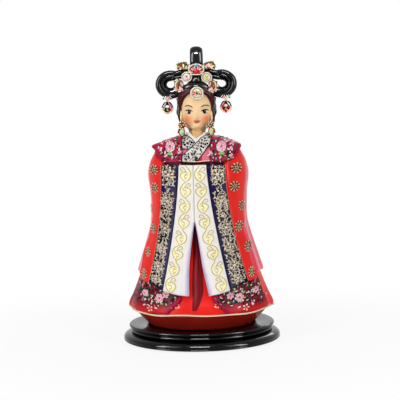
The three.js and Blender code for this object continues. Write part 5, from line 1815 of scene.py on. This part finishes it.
def crest():
    """A fan of red and pale rays round a pointed stone, with a blue one on top."""
    relief = Relief(facing(-8.0))
    x, z = 0.9, 229.8
    outline = placed(x, z, [
        (6.2, -3.4), (6.6, -0.6), (5.0, 2.8), (2.2, 4.8), (-2.2, 4.8),
        (-5.0, 2.8), (-6.6, -0.6), (-6.2, -3.4), (-3.4, -4.4), (3.4, -4.4),
    ])
    backing(relief, outline, 3.4, 0.2, SHADE)
    for k in range(11):
        angle = math.radians(mix(8, 172, k / 10))
        foot = relief.turned(x, z - 2.8, angle, 2.5, 0)
        relief.petal(*foot, angle, 3.6, 1.2, 1.3, (SHELL, RUBY, GILT, BLUSH)[k % 4], sides=9)
    rim(relief, x, z - 0.2, 6.3, 4.6, 1.2, GILT, 1.3, -0.6, math.pi + 0.6)
    relief.line(placed(x, z, [(-5.2, -3.4), (-3.0, -4.2), (3.0, -4.2), (5.2, -3.4)]), 1.1, 1.2, GILT, 1.0)
    pointed = placed(x, z, [(-2.7, -3.2), (2.7, -3.2), (0.2, 1.6), (-0.2, 1.6)])
    relief.mound(pointed, (x, z - 1.4), 2.5, RUBY)
    blue = placed(x, z, [(-1.9, 2.6), (1.9, 2.6), (1.2, 5.4), (-1.2, 5.4)])
    relief.mound(blue, (x, z + 4.0), 2.0, SKY)
    relief.make("crest_jewels", JEWELS, replaces=["crest"], slot="old_gold")


def spray(side, name):
    """A spray of petals and beads that leans out over the loop."""
    relief = Relief(facing(-2.2))
    x, z = side * 11.4 + 0.5, 233.0
    outline = ring_of(x, z, 4.9, 3.4, 20, 0.08, 5)
    backing(relief, outline, 3.2, 0.2, SHADE)
    warm = (OLIVE, BLUSH) if side > 0 else (AMBER, SHADE)
    for k in range(6):
        t = k / 5
        a = math.pi / 2 + side * mix(-1.2, 1.5, t)
        color = warm[k % 2] if k < 4 else GILT
        relief.petal(x - side * 1.0, z - 2.4, a, 5.6 - 0.5 * k, 2.3, 1.3, color, PEARL if k == 2 else None)
    for k in range(7):
        a = mix(-0.3, math.pi + 0.3, k / 6)
        relief.dot(x + 5.3 * math.cos(a), z + 3.6 * math.sin(a), 0.85, 1.1, (GILT, PEARL, JADE)[k % 3])
    relief.dot(x - side * 1.4, z - 2.0, 1.2, 2.1, RUBY if side > 0 else JADE, 12)
    relief.dot(x + side * 1.8, z - 2.6, 0.9, 1.6, PEARL, 10)
    relief.dot(x + side * 4.0, z - 2.4, 0.8, 1.4, ONYX, 8)
    relief.make("spray_petals_" + name, JEWELS, replaces=["spray_" + name], slot="old_gold")


def round_brooch(side, name):
    relief = Relief(facing(-7.0))
    x, z = (9.5, 222.9) if side > 0 else (-7.3, 223.7)
    warm, stone = (OLIVE, JADE) if side > 0 else (BLUSH, RUBY)
    backing(relief, ring_of(x, z, 4.2, 4.2, 24, 0.04, 8), 3.6, 0.3, SHADE)
    relief.mound(ring_of(x, z, 4.1, 4.1), (x, z), 1.0, PEARL if side < 0 else GILT)
    rim(relief, x, z, 4.1, 4.1, 1.0, GILT, 1.5)
    rim(relief, x, z, 3.2, 3.2, 0.4, SHADE, 1.3)
    relief.spiral(x, z, 2.7, 0.4, 1.1, 0.7, 1.7, warm, side, 20)
    relief.line(placed(x, z, [(-1.9, 1.5), (0.2, 0.4), (1.8, 1.9)]), 0.7, 1.9, SHADE, 0.5)
    relief.line(placed(x, z, [(-1.6, -1.3), (0.4, -1.9), (2.0, -0.6)]), 0.7, 1.8, stone, 0.5)
    relief.dot(x, z, 0.8, 1.9, stone, 12)
    relief.make("round_brooch_jewels_" + name, JEWELS, replaces=["round_brooch_" + name], slot="old_gold")


def fan_brooch(side, name):
    relief = Relief(facing(-8.0))
    x, z = (14.6, 215.8) if side > 0 else (-14.2, 216.8)
    backing(relief, ring_of(x, z, 4.0, 5.2), 4.4, 0.3, SHADE)
    for k in range(13):
        a = mix(-1.9, 1.9, k / 12)
        px = x + side * 4.1 * math.cos(a)
        relief.dot(px, z + 5.2 * math.sin(a), 0.8, 1.2, SHADE if k % 3 == 2 else GILT)
    relief.line(arc_of(x, z, side * 2.7, 3.9, -1.6, 1.6, 13), 1.0, 1.1, GILT, 1.0)
    relief.line(arc_of(x, z, side * 1.9, 2.9, -0.4, 1.5, 9), 0.8, 1.2, JADE, 0.6)
    for dx, dz, angle, length, wide, color in (
        (-1.6, 3.6, -1.3, 4.4, 1.8, BLUSH), (0.4, 1.2, -1.9, 3.6, 1.7, RUBY),
        (-1.0, -0.4, -1.5, 4.6, 2.2, SHELL), (-2.4, -1.6, -1.2, 4.0, 1.9, SHELL),
        (1.4, -1.2, -2.0, 3.4, 1.5, BLUSH), (-3.0, 2.0, -1.5, 3.2, 1.4, PEARL),
    ):
        turn = angle if side < 0 else math.pi - angle
        relief.petal(x + side * dx, z + dz, turn, length, wide, 1.5, color)
    relief.make("fan_brooch_jewels_" + name, JEWELS, replaces=["fan_brooch_" + name], slot="old_gold")


def both_faces(depth, draw):
    """The same relief on the front and on the back of a plate."""
    verts, faces, slots = [], [], []
    for way in (-1, 1):
        relief = Relief(lambda x, z: (Vector((x, way * depth, z)), Vector((0, way, 0))))
        draw(relief)
        first = len(verts)
        verts += relief.verts
        faces += [tuple(first + k for k in face)[::-way] for face in relief.faces]
        slots += relief.slots
    return verts, faces, slots


PENDANT_X = 24.8
PENDANT_LEAN = 0.62


def pendant(side, name):
    """The swinging pendant: a shield of beads and stones, the same on both faces."""
    x, top, left = side * PENDANT_X, 203.0, side > 0
    pair = (RUBY, BLUSH) if left else (ONYX, RUBY)
    def draw(relief):
        beads(relief, x, top - 5.4, 4.3, 4.1, 9, 0.85, GILT, math.pi * 1.02, TAU * 0.99)
        for hand in (-1, 1):
            lean = -math.pi / 2 + hand * PENDANT_LEAN
            relief.petal(x + hand * 0.8, top - 0.5, lean, 5.2, 1.1, 1.1, PEARL if hand == side else BLUSH)
            relief.petal(x + hand * 0.9, top - 2.8, lean, 4.0, 1.1, 1.3, RUBY if left else BLUSH)
            relief.dot(x + hand * 3.0, top - 6.2, 1.0, 1.3, RUBY if hand > 0 or left else JADE, 10)
            relief.dot(x + hand * 1.5, top - 8.0, 0.9, 1.2, pair[hand > 0], 10)
        relief.dot(x, top - 4.2, 1.4, 1.6, PEARL, 14)
        relief.dot(x, top - 6.9, 0.9, 1.3, OLIVE if left else JADE, 10)
        relief.dot(x, top - 9.3, 1.0, 1.3, RUBY if left else AMBER, 10)
    verts, faces, slots = both_faces(0.9, draw)
    # The shield's plate behind the jewels is black, which is painted shade in the gaps between its beads and
    # stones.
    half = [(2.2, -0.2), (3.3, -1.2), (4.3, -3.0), (5.0, -5.0), (4.5, -7.2), (2.8, -9.1)]
    far = [(-a, b) for a, b in half]
    shield = placed(x, top, [(0, -0.1), *far, (0, -10.3), *reversed(half)])
    first, count = len(verts), len(shield)
    for y in (-1.0, 1.0):
        verts += [Vector((px, y, pz)) for px, pz in shield]
    faces.append(tuple(range(first, first + count)))
    faces.append(tuple(reversed(range(first + count, first + 2 * count))))
    for k in range(count):
        a, b = first + k, first + (k + 1) % count
        faces.append((b, a, a + count, b + count))
    slots += [ONYX] * (count + 2)
    eye = [Vector((x, a, top + 0.45 + b)) for a, b in ring_of(0, 0, 0.95, 0.95, 16)]
    before = len(faces)
    tube(verts, faces, eye, lambda i: circle(0.28, 7), closed=True)
    slots += [GILT] * (len(faces) - before)
    piece("pendant_shield_" + name, verts, faces, JEWELS, slots, body="pendant_" + name,
          replaces=["loop_pendant_" + name], slot="gilt_metal")


def pendant_cap(side, name):
    """Small jewels on the loop round the foot of the hanger."""
    x = side * PENDANT_X
    def draw(relief):
        for hand in (-1, 1):
            lean = -math.pi / 2 + hand * PENDANT_LEAN
            relief.petal(x + hand * 0.2, 208.6, lean, 4.6, 1.5, 1.2, PEARL if hand == side else BLUSH)
            relief.petal(x + hand * 1.0, 209.0, -math.pi / 2 + hand * 0.6, 5.0, 1.0, 0.9, ONYX)
            relief.petal(x + hand * 1.7, 208.9, lean, 4.4, 1.0, 1.0, GILT)
        relief.dot(x, 205.7, 0.8, 1.3, PEARL, 10)
    verts, faces, slots = both_faces(2.0, draw)
    more, plates = blob((x, 0, 206.0), (2.1, 2.3, 1.7))
    faces += [tuple(len(verts) + k for k in face) for face in plates]
    verts += more
    slots += [GILT] * len(plates)
    piece("pendant_cap_" + name, verts, faces, JEWELS, slots, slot="old_gold")


def ear_jewels(side, name):
    relief = Relief(facing(-9.0))
    x, z = side * 12.2 + (0.2 if side < 0 else -0.6), 183.2
    backing(relief, ring_of(x, z, 3.4, 3.4), 2.4, 0.3, SHADE)
    beads(relief, x, z, 3.0, 3.0, 9, 0.7, GILT)
    rim(relief, x, z, 2.3, 2.3, 0.6, SHADE, 1.0)
    if side > 0:
        relief.spiral(x, z, 2.0, 0.0, 1.3, 0.8, 1.1, GILT, 1, 18)
    else:
        for k in range(5):
            relief.petal(x, z, TAU * k / 5 + 0.3, 2.2, 1.3, 1.1, (SHELL, WINE, AMBER, OLIVE, SHADE)[k])
    relief.dot(x, z, 0.9, 1.6, RUBY if side < 0 else SHADE, 10)
    relief.make("ear_rosette_beads_" + name, JEWELS, replaces=["ear_rosette_" + name], slot="old_gold")
    drop = Relief(facing(-9.2))
    x, z = side * 12.4, 177.4
    backing(drop, ring_of(x, z, 2.7, 3.6, 20), 2.6, 0.2, SHADE)
    drop.mound(ring_of(x, z, 2.1, 3.0, 18), (x, z + 0.4), 1.3, JADE if side < 0 else LEAFY)
    if side < 0:
        drop.petal(x - 0.9, z - 1.9, 1.5, 3.6, 1.2, 1.8, PEARL)
        drop.petal(x + 1.0, z - 0.9, 1.7, 3.0, 1.0, 1.7, GILT)
        drop.dot(x + 0.3, z - 2.2, 0.7, 1.6, PEARL, 8)
        drop.dot(x - 1.9, z + 2.3, 0.7, 1.2, ONYX, 8)
    else:
        drop.spiral(x, z, 1.9, 1.0, 1.2, 0.7, 1.6, GILT, 1, 16)
        drop.petal(x + 1.5, z - 0.6, 1.6, 3.0, 1.1, 1.6, OLIVE)
        drop.dot(x - 1.7, z - 1.6, 0.7, 1.2, ONYX, 8)
    drop.dot(x - side * 2.2, z + 2.6, 0.8, 1.0, BLUSH, 8)
    drop.petal(x + side * 2.1, z + 3.4, -math.pi / 2 + side * 0.25, 4.6, 1.5, 0.9, WINE)
    drop.make("ear_drop_stone_" + name, JEWELS, replaces=["ear_drop_" + name], slot="green_gem")


cape_back()
cape_flowers()
lapels()
lapel_lattice()
neck_band()
head()
face_paint()
hair_front()
hair_back()
hair_band()
knot_and_root()
top_loop()
brow_brooch()
crest()
for side, name in ((1, "left"), (-1, "right")):
    cape_front(side, name)
    side_loop(side, name)
    spray(side, name)
    round_brooch(side, name)
    fan_brooch(side, name)
    pendant(side, name)
    pendant_cap(side, name)
    ear_jewels(side, name)


# Finishes of the solids that keep their own shape


STEEL = paint("screw_steel", "#B8B8BA", 0.32, 0.5, 0.2, 1.0, scale=900)
RESIN = paint("bare_resin", "#CEC4B4", 0.6, 0.1, 0.4, scale=700)
WIRE = paint("gilt_wire", "#D8B460", 0.28, 0.5, 0.1, 1.0)

for material, names in (
    (FELT, ["felt_pad"]),
    (STEEL, ["figure_screw", "tier_screw_left", "tier_screw_right"]),
    (RESIN, ["foot_plug"]),
    (PINK_CLOTH, ["torso"]),
    (WIRE, ["pendant_hanger_left", "pendant_hanger_right"]),
):
    for name in names:
        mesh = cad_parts[name].data
        mesh.materials.clear()
        mesh.materials.append(material)


# Camera, light and floor


# Degrees, then millimetres
VIEW_TURN = 4
VIEW_ROLL = -1.35
VIEW_SHIFT = 0.95
VIEW_DISTANCE = 1250
VIEW_HEIGHT = 240
AIM_HEIGHT = 118.9
SENSOR_WIDTH = 36
LENS = 132.66
# Metres
FARTHEST_SEEN = 50
LAMP_AIM = Vector((0, 0, 0.12))
FLOOR_HALF = 12
FADE_START = 0.08
FADE_END = 0.35
# Shares of full white
FLOOR_TONE = 0.9
FLOOR_GLOW = 0.86
WORLD_LIGHT = 0.28


def camera():
    """The photograph's view: a little round from the front, a little above, and slightly rolled."""
    turn = math.radians(VIEW_TURN)
    right = Vector((math.cos(turn), math.sin(turn), 0))
    back = Vector((-math.sin(turn), math.cos(turn), 0))
    place = right * VIEW_SHIFT - back * VIEW_DISTANCE + Vector((0, 0, VIEW_HEIGHT))
    aim = right * VIEW_SHIFT + Vector((0, 0, AIM_HEIGHT))
    data = bpy.data.cameras.new("view")
    data.sensor_width = SENSOR_WIDTH
    data.lens = LENS
    data.clip_end = FARTHEST_SEEN
    thing = new_object("view", data)
    look = (aim - place).to_track_quat("-Z", "Y").to_matrix().to_4x4()
    roll = Matrix.Rotation(math.radians(VIEW_ROLL), 4, "Z")
    thing.matrix_world = Matrix.Translation(place * MM) @ look @ roll
    bpy.context.scene.camera = thing


def lamp(name, place, size, power, sheen_only=False):
    """A soft box that points at the middle of the figure. One for sheen lights no matt surface."""
    data = bpy.data.lights.new(name, "AREA")
    data.shape = "RECTANGLE"
    data.size, data.size_y = size
    data.energy = power
    thing = new_object(name, data)
    thing.location = place
    thing.visible_diffuse = not sheen_only
    thing.rotation_euler = (LAMP_AIM - Vector(place)).to_track_quat("-Z", "Y").to_euler()


def ray_is(tree, *kinds):
    """One for a ray of any of these kinds, and nothing for the others."""
    rays = add_node(tree, "LightPath").outputs
    found = rays[kinds[0]]
    for kind in kinds[1:]:
        found = add_node(tree, "Math", {0: found, 1: rays[kind]}, operation="MAXIMUM").outputs[0]
    return found


def white_world():
    """White for the camera and for reflections, and softer as a light."""
    world = bpy.data.worlds.new("studio")
    bpy.context.scene.world = world
    world.use_nodes = True
    tree = world.node_tree
    seen = ray_is(tree, "Is Camera Ray", "Is Glossy Ray", "Is Transmission Ray")
    level = add_node(tree, "MapRange", {"Value": seen, "To Min": WORLD_LIGHT, "To Max": 1.0})
    wire(tree.nodes["Background"], {"Color": (1, 1, 1, 1), "Strength": level.outputs["Result"]})


def floor():
    """A pale floor that keeps the object's shadow and fades into the white around it."""
    material = bpy.data.materials.new("pale_floor")
    material.use_nodes = True
    tree = material.node_tree
    tree.nodes.remove(tree.nodes["Principled BSDF"])
    diffuse = add_node(tree, "BsdfDiffuse", {"Color": (FLOOR_TONE, FLOOR_TONE, FLOOR_TONE, 1)})
    glow = add_node(tree, "Emission")
    place = add_node(tree, "TexCoord").outputs["Object"]
    length = add_node(tree, "VectorMath", {0: place}, operation="LENGTH")
    far = add_node(tree, "MapRange", {
        "Value": length.outputs["Value"], "From Min": FADE_START, "From Max": FADE_END, "To Min": FLOOR_GLOW,
    }, interpolation_type="SMOOTHSTEP")
    seen = ray_is(tree, "Is Camera Ray", "Is Glossy Ray")
    share = add_node(tree, "Math", {0: far.outputs["Result"], 1: seen}, operation="MULTIPLY")
    blend = add_node(tree, "MixShader", {"Fac": share.outputs[0], 1: diffuse.outputs[0], 2: glow.outputs[0]})
    wire(tree.nodes["Material Output"], {"Surface": blend.outputs[0]})
    mesh = bpy.data.meshes.new("floor")
    corners = [(-1, -1), (1, -1), (1, 1), (-1, 1)]
    mesh.from_pydata([(x * FLOOR_HALF, y * FLOOR_HALF, 0) for x, y in corners], [], [(0, 1, 2, 3)])
    mesh.materials.append(material)
    new_object("floor", mesh)


camera()
white_world()
lamp("key_left", (-0.8, -0.84, 0.6), (0.42, 1.1), 7.9)
lamp("key_right", (0.9, -0.74, 0.6), (0.36, 1.1), 5.8)
lamp("sheen_left", (-1.0, -0.62, 0.5), (0.3, 1.0), 26.0, True)
lamp("sheen_right", (1.06, -0.5, 0.5), (0.3, 1.0), 26.0, True)
lamp("sheen_top", (0.0, -0.8, 0.95), (0.5, 0.12), 26.0, True)
lamp("top_front", (0.0, -0.62, 1.15), (0.7, 0.2), 1.6)
lamp("back", (0.15, 1.2, 0.8), (0.9, 0.6), 6.0)
floor()
bpy.context.scene.view_settings.view_transform = "Standard"
